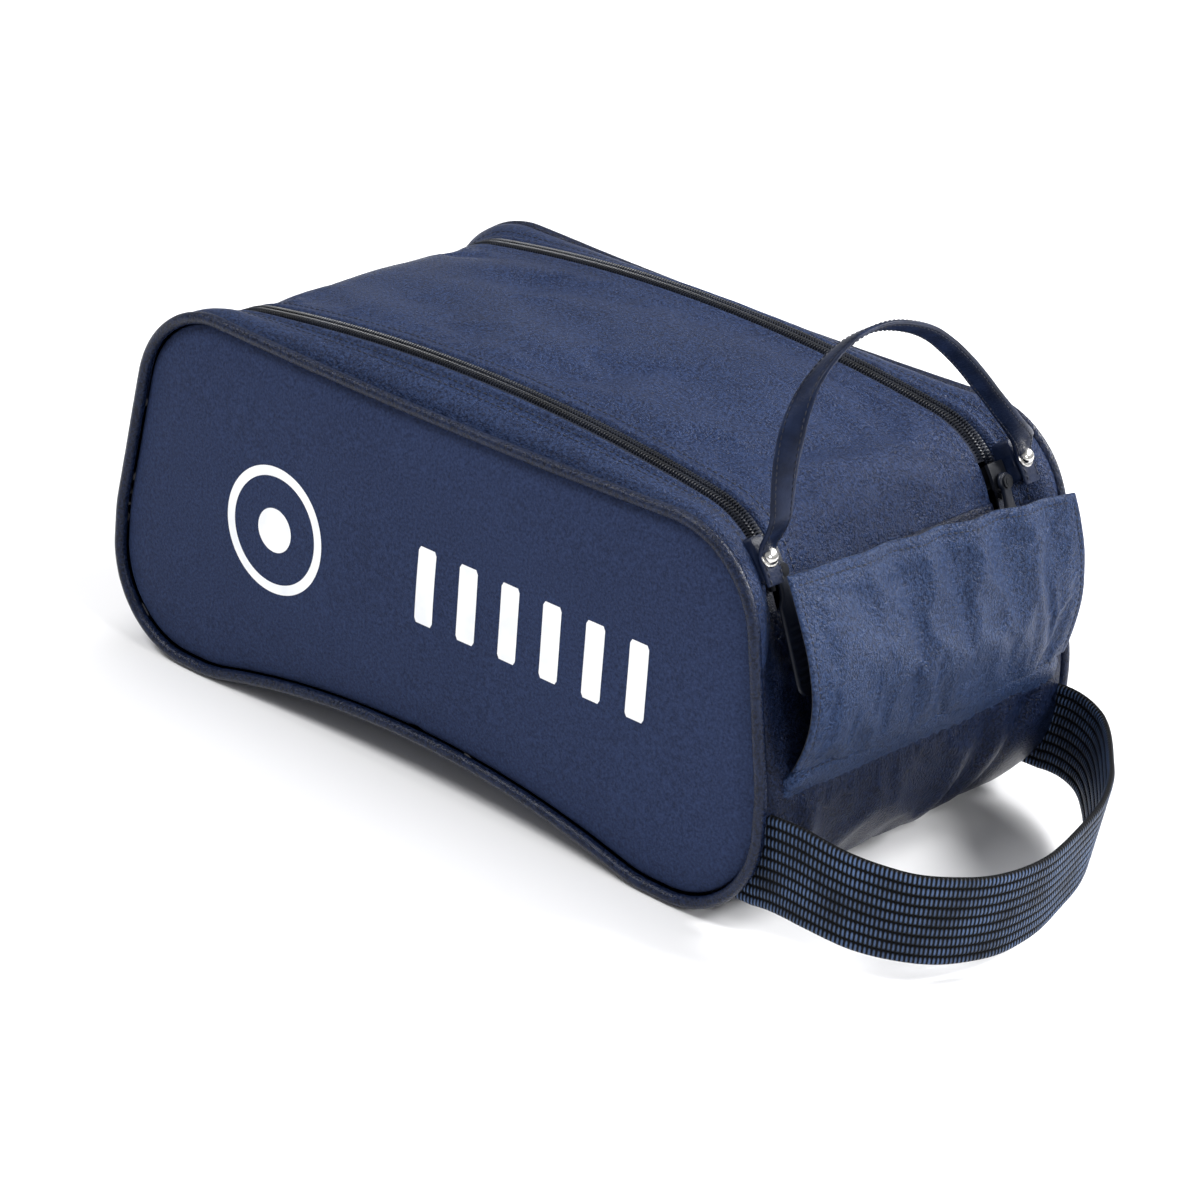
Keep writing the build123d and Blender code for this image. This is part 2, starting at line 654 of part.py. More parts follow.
with BuildPart() as print_bars:
    with BuildSketch(ink_plane):
        for bar in range(BAR_COUNT):
            with Locations((BARS_FROM + bar * BAR_PITCH, BAR_Z)):
                Rectangle(*BAR_SIZE)
    extrude(amount=INK_T)
print_bars.part.label = "print_bars"
export_step(print_bars.part, "parts/print_bars.step")
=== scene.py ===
import math
import bmesh
import bpy
import numpy as np
from mathutils import Matrix, Vector, noise

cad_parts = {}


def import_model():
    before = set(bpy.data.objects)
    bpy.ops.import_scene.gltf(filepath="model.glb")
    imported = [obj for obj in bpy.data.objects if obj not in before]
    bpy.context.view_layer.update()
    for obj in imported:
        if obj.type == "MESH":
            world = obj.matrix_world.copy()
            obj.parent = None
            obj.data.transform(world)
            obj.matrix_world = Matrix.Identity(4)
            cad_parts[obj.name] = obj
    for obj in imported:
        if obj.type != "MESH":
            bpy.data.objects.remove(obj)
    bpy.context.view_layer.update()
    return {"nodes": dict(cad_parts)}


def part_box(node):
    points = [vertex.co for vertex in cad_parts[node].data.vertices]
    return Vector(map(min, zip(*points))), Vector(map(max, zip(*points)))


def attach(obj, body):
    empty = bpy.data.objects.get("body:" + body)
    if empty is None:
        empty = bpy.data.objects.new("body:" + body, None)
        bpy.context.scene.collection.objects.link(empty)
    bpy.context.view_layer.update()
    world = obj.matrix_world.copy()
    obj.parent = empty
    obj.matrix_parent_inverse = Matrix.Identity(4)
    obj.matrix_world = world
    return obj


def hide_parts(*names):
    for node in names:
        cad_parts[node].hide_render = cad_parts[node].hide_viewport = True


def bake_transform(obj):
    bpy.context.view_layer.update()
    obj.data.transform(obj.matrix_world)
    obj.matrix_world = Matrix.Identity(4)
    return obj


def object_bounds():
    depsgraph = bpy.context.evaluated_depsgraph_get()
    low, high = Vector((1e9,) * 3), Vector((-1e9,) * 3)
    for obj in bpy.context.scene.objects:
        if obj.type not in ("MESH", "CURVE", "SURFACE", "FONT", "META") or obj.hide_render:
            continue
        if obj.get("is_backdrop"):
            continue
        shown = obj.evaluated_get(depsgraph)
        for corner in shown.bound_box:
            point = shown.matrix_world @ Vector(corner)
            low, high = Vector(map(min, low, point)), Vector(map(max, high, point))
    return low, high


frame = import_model()

# Everything below is worked out in millimetres from the middle of the bag, then moved here.
pipe_low, pipe_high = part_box("front_piping")
BAG_X = 500 * (pipe_low.x + pipe_high.x)
cos, sin, radians, pi = math.cos, math.sin, math.radians, math.pi


def world(points):
    """Bag-centred millimetres to metres in the row frame."""
    p = np.array(points, float)
    p[..., 0] += BAG_X
    return p / 1000


def unit(v):
    return v / np.linalg.norm(v, axis=-1, keepdims=True)


def grid(rows, columns):
    return np.meshgrid(rows, columns, indexing="ij")


# ---- the bag's form
SIDES = (("front", -1), ("back", 1))
PANEL_FORM = dict(shoulder=(117.5, 109.5), radius=42.5, top=92, lean=8, hip=(169.5, 58), heel=171)
MID_FORM = dict(shoulder=(108, 112), radius=38.5, top=81, lean=24, hip=(170, 66), heel=172.5)
SEAM_Y, ZIP_Y, ZIP_OUT, LID_Y = 88.0, 66.0, 71.0, 61.0
BELLY = 112.0
STITCH_ROWS = (4.0, 7.0)
RISE = 15.0
PIPE_Y, PIPE_R = 90.6, 2.5


def fillet(p0, p1, p2, r, n):
    p0, p1, p2 = (np.array(p, float) for p in (p0, p1, p2))
    a, b = unit(p0 - p1), unit(p2 - p1)
    half = 0.5 * math.acos(np.clip(a @ b, -1, 1))
    reach = r / math.tan(half)
    c = p1 + unit(a + b) * r / math.sin(half)
    t0 = math.atan2(*(p1 + a * reach - c)[::-1])
    t1 = math.atan2(*(p1 + b * reach - c)[::-1])
    turn = (t1 - t0 + pi) % (2 * pi) - pi
    t = t0 + turn * np.linspace(0, 1, n)
    return np.c_[c[0] + r * np.cos(t), c[1] + r * np.sin(t)]


def half_outline(form):
    """Right half of a side profile, from the middle of the top round to the middle of the base."""
    (sx, sz), r = form["shoulder"], form["radius"]
    top, lean = radians(form["top"]), radians(form["lean"])
    reach = sx / cos(top)
    a = np.linspace(pi / 2, top, 90)
    crown = np.c_[(reach + r) * np.cos(a), sz - reach * sin(top) + (reach + r) * np.sin(a)]
    a = np.linspace(top, lean, 70)
    shoulder = np.c_[sx + r * np.cos(a), sz + r * np.sin(a)]
    heel = (form["heel"], 0)
    hip = fillet(shoulder[-1], form["hip"], heel, 60, 20)
    foot = fillet(form["hip"], heel, (0, 0), 42, 40)
    arc_r = (BELLY ** 2 + RISE ** 2) / (2 * RISE)
    cx = math.sqrt((arc_r + 60) ** 2 - (60 + arc_r - RISE) ** 2)
    a0 = math.atan2(60 + arc_r - RISE, cx)
    a = np.linspace(-pi / 2, a0 - pi, 8)
    edge = np.c_[cx + 60 * np.cos(a), 60 + 60 * np.sin(a)]
    a = np.linspace(a0, pi / 2, 60)
    belly = np.c_[arc_r * np.cos(a), RISE - arc_r + arc_r * np.sin(a)]
    parts = [crown]
    for nxt in (shoulder, hip, foot, edge, belly):
        if np.linalg.norm(parts[-1][-1] - nxt[0]) > 0.01:
            parts += [np.linspace(parts[-1][-1], nxt[0], 26)[1:-1], nxt]
        else:
            parts.append(nxt[1:])
    return np.vstack(parts)


mid_line, panel_line = half_outline(MID_FORM), half_outline(PANEL_FORM)
assert len(mid_line) == len(panel_line)
mid_s = np.r_[0, np.cumsum(np.linalg.norm(np.diff(mid_line, axis=0), axis=1))]
S_END = mid_s[-1]


def s_at(z, side_x=80):
    """Distance round the mid form from the top's middle to where it comes down to height z."""
    found = (mid_line[:, 0] > side_x) & (mid_s < 330)
    return float(np.interp(-z, -mid_line[found, 1], mid_s[found]))


def section(s, y):
    """Point on the bag's form without any relief."""
    s, y = np.broadcast_arrays(np.asarray(s, float), np.asarray(y, float))
    way = np.where(s < 0, -1.0, 1.0)
    a = np.abs(s)
    over = a > S_END
    a = np.where(over, 2 * S_END - a, a)
    way = np.where(over, -way, way)
    w = np.clip((np.abs(y) - ZIP_OUT) / (SEAM_Y - ZIP_OUT), 0, 1)
    x, z = ((1 - w) * np.interp(a, mid_s, mid_line[:, c]) + w * np.interp(a, mid_s, panel_line[:, c])
            for c in (0, 1))
    return np.stack([way * x, y, z], -1)


def skin(s, y, d=0.0):
    """Point on the bag's outer form, d millimetres outwards along its normal."""
    s, y = np.broadcast_arrays(np.asarray(s, float), np.asarray(y, float))
    ds = section(s + 0.6, y) - section(s - 0.6, y)
    dy = section(s, y + 0.4) - section(s, y - 0.4)
    n = unit(np.cross(ds, dy))
    return section(s, y) + n * np.asarray(d)[..., None], n


def fuzz(p, size, seed=0.0):
    """Smooth noise, about -1 to 1, with features of that size in millimetres."""
    flat = np.asarray(p, float).reshape(-1, 3) / size
    out = [noise.noise(Vector((a + seed, b - seed, c + 2 * seed))) for a, b, c in flat]
    return np.array(out).reshape(np.asarray(p).shape[:-1])


def bell(x, at, width):
    return np.exp(-(((x - at) / width) ** 2))


def spaced(a, b, step, fine=0.5, rim=7.0, rims=(True, True)):
    """Positions from a to b, closer together near the rims."""
    out = [a]
    while out[-1] < b - 1e-6:
        near = min((out[-1] - a) if rims[0] else 99, (b - out[-1]) if rims[1] else 99)
        out.append(out[-1] + fine + (step - fine) * min(1, near / rim))
    out = np.array(out)
    return a + (out - a) * (b - a) / (out[-1] - a)


# ---- mesh helpers
def mesh_object(name, verts, faces, uvs, material, angle=50):
    mesh = bpy.data.meshes.new(name)
    mesh.from_pydata([tuple(v) for v in world(verts)], [], [tuple(int(i) for i in f) for f in faces])
    layer = mesh.uv_layers.new(name="UVMap")
    index = np.array([l.vertex_index for l in mesh.loops])
    layer.data.foreach_set("uv", (np.asarray(uvs, float)[index] / 1000).astype(np.float32).ravel())
    mesh.validate()
    turned_out = bmesh.new()
    turned_out.from_mesh(mesh)
    bmesh.ops.recalc_face_normals(turned_out, faces=turned_out.faces)
    turned_out.to_mesh(mesh)
    turned_out.free()
    for poly in mesh.polygons:
        poly.use_smooth = True
    mesh.set_sharp_from_angle(angle=radians(angle))
    obj = bpy.data.objects.new(name, mesh)
    bpy.context.scene.collection.objects.link(obj)
    mesh.materials.append(material)
    return obj


def grid_faces(n, m, start=0, flip=False, wrap_n=False):
    faces = []
    for i in range(n if wrap_n else n - 1):
        for j in range(m - 1):
            i2 = (i + 1) % n
            q = (start + i * m + j, start + i2 * m + j, start + i2 * m + j + 1, start + i * m + j + 1)
            faces.append(q[::-1] if flip else q)
    return faces


def ring_faces(n, sides, start=0, closed=False):
    """Faces of a tube made of n rings of points."""
    faces = []
    for i in range(n if closed else n - 1):
        a, b = start + i * sides, start + (i + 1) % n * sides
        for j in range(sides):
            j2 = (j + 1) % sides
            faces.append((a + j, a + j2, b + j2, b + j))
    return faces


def hoop_faces(n, m, flip):
    """Faces of a closed sheet between two grids whose first column runs right round its rim."""
    faces = grid_faces(n, m, 0, flip, True) + grid_faces(n, m, n * m, not flip, True)
    for i in range(n):
        i2 = (i + 1) % n
        q = (i * m, i2 * m, i2 * m + n * m, i * m + n * m)
        faces.append(q if flip else q[::-1])
    return faces


def both(a, b):
    """The points of two grids in one list."""
    return np.vstack([a.reshape(-1, a.shape[-1]), b.reshape(-1, b.shape[-1])])


def sheet_block(a, b):
    """(verts, faces) of a closed sheet between two matching grids of points."""
    n, m = a.shape[:2]
    k = n * m
    faces = grid_faces(n, m) + grid_faces(n, m, k, flip=True)
    rim = [i * m for i in range(n)] + [(n - 1) * m + j for j in range(1, m)]
    rim += [i * m + m - 1 for i in range(n - 2, -1, -1)] + list(range(m - 2, 0, -1))
    faces += [(q, p, p + k, q + k) for p, q in zip(rim, rim[1:] + rim[:1])]
    return both(a, b), faces


def slab(name, outer, inner, uv, material):
    """A closed sheet as an object of its own."""
    return mesh_object(name, *sheet_block(outer, inner), both(uv, uv), material)


def cover(name, S, Y, outer, low, material):
    """A closed sheet from outer down to a depth below the bag's form."""
    return slab(name, outer, skin(S, Y, low)[0], np.stack([S, Y], -1), material)


def merged(name, blocks, material, angle=50):
    """One object from several (verts, faces) blocks."""
    verts, faces, base = [], [], 0
    for v, f in blocks:
        v = np.asarray(v, float).reshape(-1, 3)
        verts.append(v)
        faces += [tuple(i + base for i in q) for q in f]
        base += len(v)
    v = np.vstack(verts)
    return mesh_object(name, v, faces, v[:, [0, 2]], material, angle)


def weld(obj):
    """Joins the points that meet along the middle of a piece."""
    bm = bmesh.new()
    bm.from_mesh(obj.data)
    bmesh.ops.remove_doubles(bm, verts=bm.verts, dist=0.0006)
    bm.to_mesh(obj.data)
    bm.free()


def tube(path, radius, sides):
    """(verts, faces) of a round tube along a closed path, with a radius for each point."""
    tan = unit(np.roll(path, -1, 0) - np.roll(path, 1, 0))
    a = unit(np.cross(tan, np.broadcast_to([0, 1, 0.0], path.shape)))
    b = np.cross(a, tan)
    t = np.linspace(0, 2 * pi, sides, endpoint=False)
    ring = np.cos(t)[None, :, None] * a[:, None] + np.sin(t)[None, :, None] * b[:, None]
    verts = (path[:, None] + radius[:, None, None] * ring).reshape(-1, 3)
    return verts, ring_faces(len(path), sides, 0, True)


def stitch_row(path, normals, pitch=3.0, length=2.1, r=0.3, sink=0.08):
    """(verts, faces) of a row of sewn stitches lying on a surface."""
    path, normals = np.asarray(path, float), np.asarray(normals, float)
    run = np.r_[0, np.cumsum(np.linalg.norm(np.diff(path, axis=0), axis=1))]
    verts, faces = [], []
    for k in range(int(run[-1] / pitch)):
        at = (k + 0.5) * pitch
        places = (at - length / 2, at + length / 2)
        ends = [np.array([np.interp(place, run, path[:, c]) for c in range(3)]) for place in places]
        n = np.array([np.interp(at, run, normals[:, c]) for c in range(3)])
        n = unit(n)
        along = unit(ends[1] - ends[0])
        side = np.cross(along, n)
        base = len(verts)
        for f, k_r in ((0, 0.35), (0.25, 1.0), (0.75, 1.0), (1, 0.35)):
            c = ends[0] + (ends[1] - ends[0]) * f + n * (r * k_r * 0.5 - sink)
            for t in (0, pi / 3, 2 * pi / 3, pi, 3 * pi / 2):
                verts.append(c + k_r * r * (cos(t) * side + sin(t) * n))
        faces += ring_faces(4, 5, base)
        faces.append(tuple(base + j for j in range(4, -1, -1)))
        faces.append(tuple(base + 15 + j for j in range(5)))
    return np.array(verts), faces


def settle(points, sewn, grow, bend, cap, frames=12):
    """How far each point of a grid of cloth moves when it is cut a little too large for its place: a cloth
    simulation, held where sewn is 1, with no gravity. The move levels off at cap millimetres."""
    n, m = points.shape[:2]
    solved_scale = 0.01
    mesh = bpy.data.meshes.new("cloth")
    mesh.from_pydata([tuple(p) for p in points.reshape(-1, 3) * solved_scale], [], grid_faces(n, m))
    obj = bpy.data.objects.new("cloth", mesh)
    bpy.context.scene.collection.objects.link(obj)
    group = obj.vertex_groups.new(name="sewn")
    for i, weight in enumerate(np.clip(sewn, 0, 1).ravel()):
        group.add([i], float(weight), "REPLACE")
    modifier = obj.modifiers.new("Cloth", "CLOTH")
    cloth = modifier.settings
    cloth.quality = 5
    cloth.mass = 0.2
    cloth.tension_stiffness = cloth.compression_stiffness = 20
    cloth.shear_stiffness = 8
    cloth.bending_stiffness = bend
    cloth.vertex_group_mass = group.name
    cloth.shrink_min = -grow
    cloth.effector_weights.gravity = 0
    modifier.collision_settings.use_collision = False
    for frame_number in range(1, frames + 1):
        bpy.context.scene.frame_set(frame_number)
    solved = obj.evaluated_get(bpy.context.evaluated_depsgraph_get()).data
    moved = np.array([v.co for v in solved.vertices]).reshape(n, m, 3) / solved_scale - points
    bpy.data.objects.remove(obj)
    bpy.data.meshes.remove(mesh)
    bpy.context.scene.frame_set(1)
    reach = np.linalg.norm(moved, axis=-1, keepdims=True) + 1e-9
    return moved * (cap * np.tanh(reach / cap) / reach)


# ---- materials
def material(name, rough=0.6, spec=0.4, metallic=0.0):
    mat = bpy.data.materials.new(name)
    mat.use_nodes = True
    tree = mat.node_tree
    bsdf = tree.nodes["Principled BSDF"]
    bsdf.inputs["Roughness"].default_value = rough
    bsdf.inputs["Specular IOR Level"].default_value = spec
    bsdf.inputs["Metallic"].default_value = metallic
    return mat, tree, bsdf


def add_noise(tree, coord, scale, detail=2.0, rough=0.5):
    node = tree.nodes.new("ShaderNodeTexNoise")
    node.inputs["Scale"].default_value = scale
    node.inputs["Detail"].default_value = detail
    node.inputs["Roughness"].default_value = rough
    tree.links.new(coord, node.inputs["Vector"])
    return node.outputs["Fac"]


def math_node(tree, op, a, b=None):
    node = tree.nodes.new("ShaderNodeMath")
    node.operation = op
    for socket, value in zip(node.inputs, (a, b)):
        if value is None:
            continue
        if isinstance(value, (int, float)):
            socket.default_value = value
        else:
            tree.links.new(value, socket)
    return node.outputs[0]


def ramp(tree, fac, stops):
    node = tree.nodes.new("ShaderNodeValToRGB")
    els = node.color_ramp.elements
    while len(els) < len(stops):
        els.new(0.5)
    for el, (at, col) in zip(els, stops):
        el.position = at
        el.color = (*col, 1)
    tree.links.new(fac, node.inputs["Fac"])
    return node.outputs["Color"]


def bump(tree, height, strength, distance, after=None):
    node = tree.nodes.new("ShaderNodeBump")
    node.inputs["Strength"].default_value = strength
    node.inputs["Distance"].default_value = distance
    tree.links.new(height, node.inputs["Height"])
    if after is not None:
        tree.links.new(after, node.inputs["Normal"])
    return node.outputs["Normal"]


def remap(tree, value, low, high):
    node = tree.nodes.new("ShaderNodeMapRange")
    node.inputs["To Min"].default_value = low
    node.inputs["To Max"].default_value = high
    tree.links.new(value, node.inputs["Value"])
    return node.outputs["Result"]


def weave_height(tree, uv, pitch_u, pitch_v):
    sep = tree.nodes.new("ShaderNodeSeparateXYZ")
    tree.links.new(uv, sep.inputs[0])
    u = math_node(tree, "SINE", math_node(tree, "MULTIPLY", sep.outputs[0], 2 * pi / pitch_u))
    v = math_node(tree, "SINE", math_node(tree, "MULTIPLY", sep.outputs[1], 2 * pi / pitch_v))
    return math_node(tree, "MULTIPLY", u, v)


def fabric(name, dark, light, rough, grain, sheen=0.0, spec=0.45, pitch=0.0007, contrast=0.10):
    """Woven cloth: a fine speckle of threads over soft, broad changes of tone."""
    mat, tree, bsdf = material(name, spec=spec)
    tc = tree.nodes.new("ShaderNodeTexCoord")
    obj = tc.outputs["Object"]
    broad = add_noise(tree, obj, 14, 3, 0.55)
    fine = add_noise(tree, obj, 1500, 1, 0.6)
    speck = add_noise(tree, obj, 900, 2, 0.75)
    mix = math_node(tree, "ADD", math_node(tree, "MULTIPLY", broad, 0.12),
                    math_node(tree, "MULTIPLY", speck, 0.88))
    tone = ramp(tree, mix, [(0.5 - contrast, dark), (0.5 + contrast, light)])
    tree.links.new(tone, bsdf.inputs["Base Color"])
    tree.links.new(remap(tree, speck, *rough), bsdf.inputs["Roughness"])
    threads = weave_height(tree, tc.outputs["UV"], pitch, pitch)
    first = bump(tree, threads, 0.25, 0.00012)
    second = bump(tree, fine, grain, 0.0005, first)
    tree.links.new(bump(tree, speck, grain, 0.0011, second), bsdf.inputs["Normal"])
    bsdf.inputs["Sheen Weight"].default_value = sheen
    bsdf.inputs["Sheen Roughness"].default_value = 0.4
    bsdf.inputs["Sheen Tint"].default_value = (0.55, 0.7, 1.0, 1)
    return mat


def webbing(name):
    """Ribbed webbing: rows of upright navy loops, lightened by painted highlight towards their tops, with
    near-black painted shade in the gaps between them.
    """
    mat, tree, bsdf = material(name, spec=0.16)
    tc = tree.nodes.new("ShaderNodeTexCoord")
    sep = tree.nodes.new("ShaderNodeSeparateXYZ")
    tree.links.new(tc.outputs["UV"], sep.inputs[0])

    def op(name, a, b=None):
        return math_node(tree, name, a, b)

    row = op("MULTIPLY", sep.outputs[1], 9 / 0.038)
    shift = op("MULTIPLY", op("FLOOR", row), 0.37)
    col = op("ADD", op("MULTIPLY", sep.outputs[0], 1 / 0.00165), shift)
    lean = op("ADD", col, op("MULTIPLY", op("FRACT", row), 0.25))
    across = op("ABSOLUTE", op("SUBTRACT", op("FRACT", lean), 0.5))
    up = op("ABSOLUTE", op("SUBTRACT", op("FRACT", row), 0.5))
    a2 = op("POWER", op("MULTIPLY", across, 2.3), 2.0)
    u2 = op("POWER", op("MULTIPLY", up, 2.15), 4.0)
    height = op("SQRT", op("MAXIMUM", op("SUBTRACT", 1.0, op("ADD", a2, u2)), 0.0))
    vary = add_noise(tree, tc.outputs["Object"], 60, 2, 0.5)
    shade = math_node(tree, "MULTIPLY", height, remap(tree, vary, 0.6, 1.15))
    # Colour from the loops' height: painted shade, near black, in the gaps, and painted highlight on the
    # tops.
    loop_highlight_and_gap_shade = ramp(tree, shade, [(0.0, (0.0004, 0.0006, 0.0012)), (0.6, (0.002, 0.0035, 0.009)),
                                (1.0, (0.080, 0.135, 0.265))])
    tree.links.new(loop_highlight_and_gap_shade, bsdf.inputs["Base Color"])
    tree.links.new(remap(tree, height, 0.85, 0.36), bsdf.inputs["Roughness"])
    tree.links.new(bump(tree, height, 1.0, 0.0012), bsdf.inputs["Normal"])
    bsdf.inputs["Sheen Weight"].default_value = 0.02
    bsdf.inputs["Sheen Roughness"].default_value = 0.4
    bsdf.inputs["Sheen Tint"].default_value = (0.6, 0.75, 1, 1)
    return mat


def plain(name, dark, light, rough, spec=0.5, metallic=0.0, scale=300, strength=0.15):
    mat, tree, bsdf = material(name, spec=spec, metallic=metallic)
    tc = tree.nodes.new("ShaderNodeTexCoord")
    n = add_noise(tree, tc.outputs["Object"], scale, 3, 0.6)
    wear = add_noise(tree, tc.outputs["Object"], scale / 8, 2, 0.5)
    tree.links.new(ramp(tree, wear, [(0.35, dark), (0.7, light)]), bsdf.inputs["Base Color"])
    tree.links.new(remap(tree, n, *rough), bsdf.inputs["Roughness"])
    tree.links.new(bump(tree, n, strength, 0.0002), bsdf.inputs["Normal"])
    return mat


lid_fabric = fabric("LidFabric", (0.005, 0.010, 0.032), (0.021, 0.038, 0.100),
                    rough=(0.30, 0.42), grain=0.9, spec=0.12)
body_fabric = fabric("BodyFabric", (0.005, 0.010, 0.032), (0.022, 0.040, 0.104),
                     rough=(0.30, 0.42), grain=0.9, spec=0.14)
satin = fabric("SatinFabric", (0.006, 0.013, 0.038), (0.025, 0.046, 0.112),
               rough=(0.24, 0.36), grain=0.7, spec=0.12)
# A darker copy of the satin: painted shade on the right end panel, and also the colour of the lid's dark edge
# binding.
shaded_satin_and_dark_binding = fabric("ShadedSatinAndDarkBinding", (0.001, 0.002, 0.008), (0.009, 0.016, 0.044),
                   rough=(0.24, 0.36), grain=0.6, spec=0.12)
panel_fabric = fabric("PanelFabric", (0.009, 0.015, 0.042), (0.024, 0.039, 0.098),
                      rough=(0.6, 0.75), grain=0.4, spec=0.12, contrast=0.16)
piping_fabric = fabric("PipingFabric", (0.002, 0.004, 0.013), (0.009, 0.016, 0.044),
                       rough=(0.2, 0.3), grain=0.3, spec=0.2)
tape_fabric = fabric("TapeFabric", (0.004, 0.006, 0.016), (0.010, 0.015, 0.036),
                     rough=(0.6, 0.75), sheen=0.05, grain=0.5, pitch=0.0011)
lining_fabric = fabric("LiningFabric", (0.003, 0.004, 0.008), (0.010, 0.012, 0.020),
                       rough=(0.55, 0.7), sheen=0.02, grain=0.4, pitch=0.0012)
foam_mat = plain("Foam", (0.09, 0.09, 0.10), (0.16, 0.16, 0.17),
                 rough=(0.85, 0.95), spec=0.2, scale=900, strength=0.6)
cord_mat = plain("PipingCord", (0.5, 0.5, 0.47), (0.65, 0.64, 0.6),
                 rough=(0.8, 0.9), spec=0.2, scale=1200, strength=0.6)
leather = plain("StrapLeather", (0.003, 0.006, 0.018), (0.010, 0.017, 0.044),
                rough=(0.30, 0.42), spec=0.14, scale=900, strength=0.8)
thread = plain("Thread", (0.003, 0.005, 0.014), (0.007, 0.011, 0.028),
               rough=(0.5, 0.6), spec=0.4, scale=1500, strength=0.4)
coil_mat = plain("ZipCoil", (0.002, 0.003, 0.006), (0.008, 0.011, 0.020),
                 rough=(0.3, 0.4), spec=0.3, scale=500, strength=0.05)
black_metal = plain("BlackMetal", (0.006, 0.007, 0.010), (0.014, 0.016, 0.022),
                    rough=(0.25, 0.4), spec=0.4, metallic=0.2, scale=400)
rubber = plain("PullRubber", (0.003, 0.005, 0.012), (0.008, 0.012, 0.026),
               rough=(0.34, 0.46), spec=0.35, scale=500)
nickel = plain("Nickel", (0.55, 0.54, 0.52), (0.72, 0.71, 0.69),
               rough=(0.16, 0.3), metallic=1.0, scale=250, strength=0.05)
board_mat = plain("Board", (0.03, 0.03, 0.032), (0.06, 0.06, 0.062),
                  rough=(0.7, 0.85), spec=0.3, scale=350, strength=0.3)
ink = plain("Ink", (0.80, 0.82, 0.85), (0.90, 0.91, 0.93),
            rough=(0.5, 0.62), spec=0.3, scale=900, strength=0.25)
web_mat = webbing("Webbing")


def finish_piece(obj, body, slot, *nodes):
    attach(obj, body)
    if nodes:
        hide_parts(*nodes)


# ---- side panels, piping and print
def panel_height(x, z, edge):
    """How far the side panel stands out: padded, pinched at the seam, with soft undulation."""
    p = np.stack([x, z, np.zeros_like(x)], -1)
    edge = np.maximum(edge - PANEL_INSET, 0)
    puff = 3.4 * (1 - np.exp(-edge / 11)) - 0.9 * np.exp(-edge / 1.2)
    pucker = 0.32 * fuzz(p, 9, 3.1) * np.exp(-edge / 11) * (1 - np.exp(-edge / 3))
    sag = 0.9 * fuzz(p, 70, 7.7) + 0.35 * fuzz(p, 30, 1.3)
    return puff + pucker + sag * (1 - np.exp(-edge / 20)) - 1.6


rim_n = 420
SPINE_X, SPINE_Z = 104, 78.0
PANEL_OUT, PANEL_FULL, PANEL_INSET = 2.4, 2.5, 2.2
s_ring = np.linspace(0, 2 * S_END, rim_n, endpoint=False)


def rim_points(inset):
    """Points round the side panel's outline, drawn in by an inset."""
    p = section(s_ring, SEAM_Y)[:, [0, 2]]
    t = unit(np.roll(p, -1, 0) - np.roll(p, 1, 0))
    return p + inset * np.c_[t[:, 1], -t[:, 0]]


def towards_spine(rim, steps):
    """Grid of points from a rim in to the line along the panel's middle."""
    spine = np.c_[np.clip(rim[:, 0], -SPINE_X, SPINE_X) * 0.96, np.full(rim_n, SPINE_Z)]
    return rim[:, None] + (spine - rim)[:, None] * steps[None, :, None]


edge_line = rim_points(PANEL_INSET)
ring_t = np.r_[0, 0.02, 0.035, 0.05, 0.065, 0.08, 0.1, 0.13, 0.17, np.linspace(0.23, 1.0, 22)]


def panel_field(x, z):
    """Distance in from the panel's edge."""
    p = np.stack([x, z], -1).reshape(-1, 1, 2)
    a, b = edge_line[None], np.roll(edge_line, -1, 0)[None]
    t = np.clip(((p - a) * (b - a)).sum(-1) / ((b - a) ** 2).sum(-1), 0, 1)[..., None]
    return np.sqrt(((p - a - t * (b - a)) ** 2).sum(-1)).min(1).reshape(np.shape(x))


for side, sign in SIDES:
    points = towards_spine(edge_line, ring_t)
    x, z = points[..., 0], points[..., 1]
    out = panel_height(x + 40 * sign, z, panel_field(x, z))
    y = sign * (SEAM_Y + PANEL_OUT + np.minimum(out, PANEL_FULL))
    outer = np.stack([x, y, z], -1)
    inner = np.stack([x, np.full_like(x, sign * SEAM_Y), z], -1)
    panel = merged(side + "_panel_skin", [(both(outer, inner), hoop_faces(*x.shape, sign > 0))], panel_fabric)
    weld(panel)
    finish_piece(panel, "bag", "panel_fabric", side + "_panel")

    rim = rim_points(PIPE_R)
    path = np.c_[rim[:, 0], np.full(rim_n, sign * PIPE_Y), rim[:, 1]]
    wob = PIPE_R * (0.97 + 0.03 * fuzz(path, 14, 2.0) + 0.02 * fuzz(path, 4, 5.0))
    path[:, 1] += 0.08 * fuzz(path, 40, 9.0)
    piping = merged(side + "_piping_tube", [tube(path, wob, 14)], piping_fabric)
    finish_piece(piping, "bag", "piping_fabric", side + "_piping")

# ---- generic print on the front panel
def on_front(x, z, lift=0.12):
    x, z = np.asarray(x, float), np.asarray(z, float)
    out = np.minimum(panel_height(x - 40, z, panel_field(x, z)), PANEL_FULL)
    return np.stack([x, -(SEAM_Y + PANEL_OUT + out + lift), z], -1)


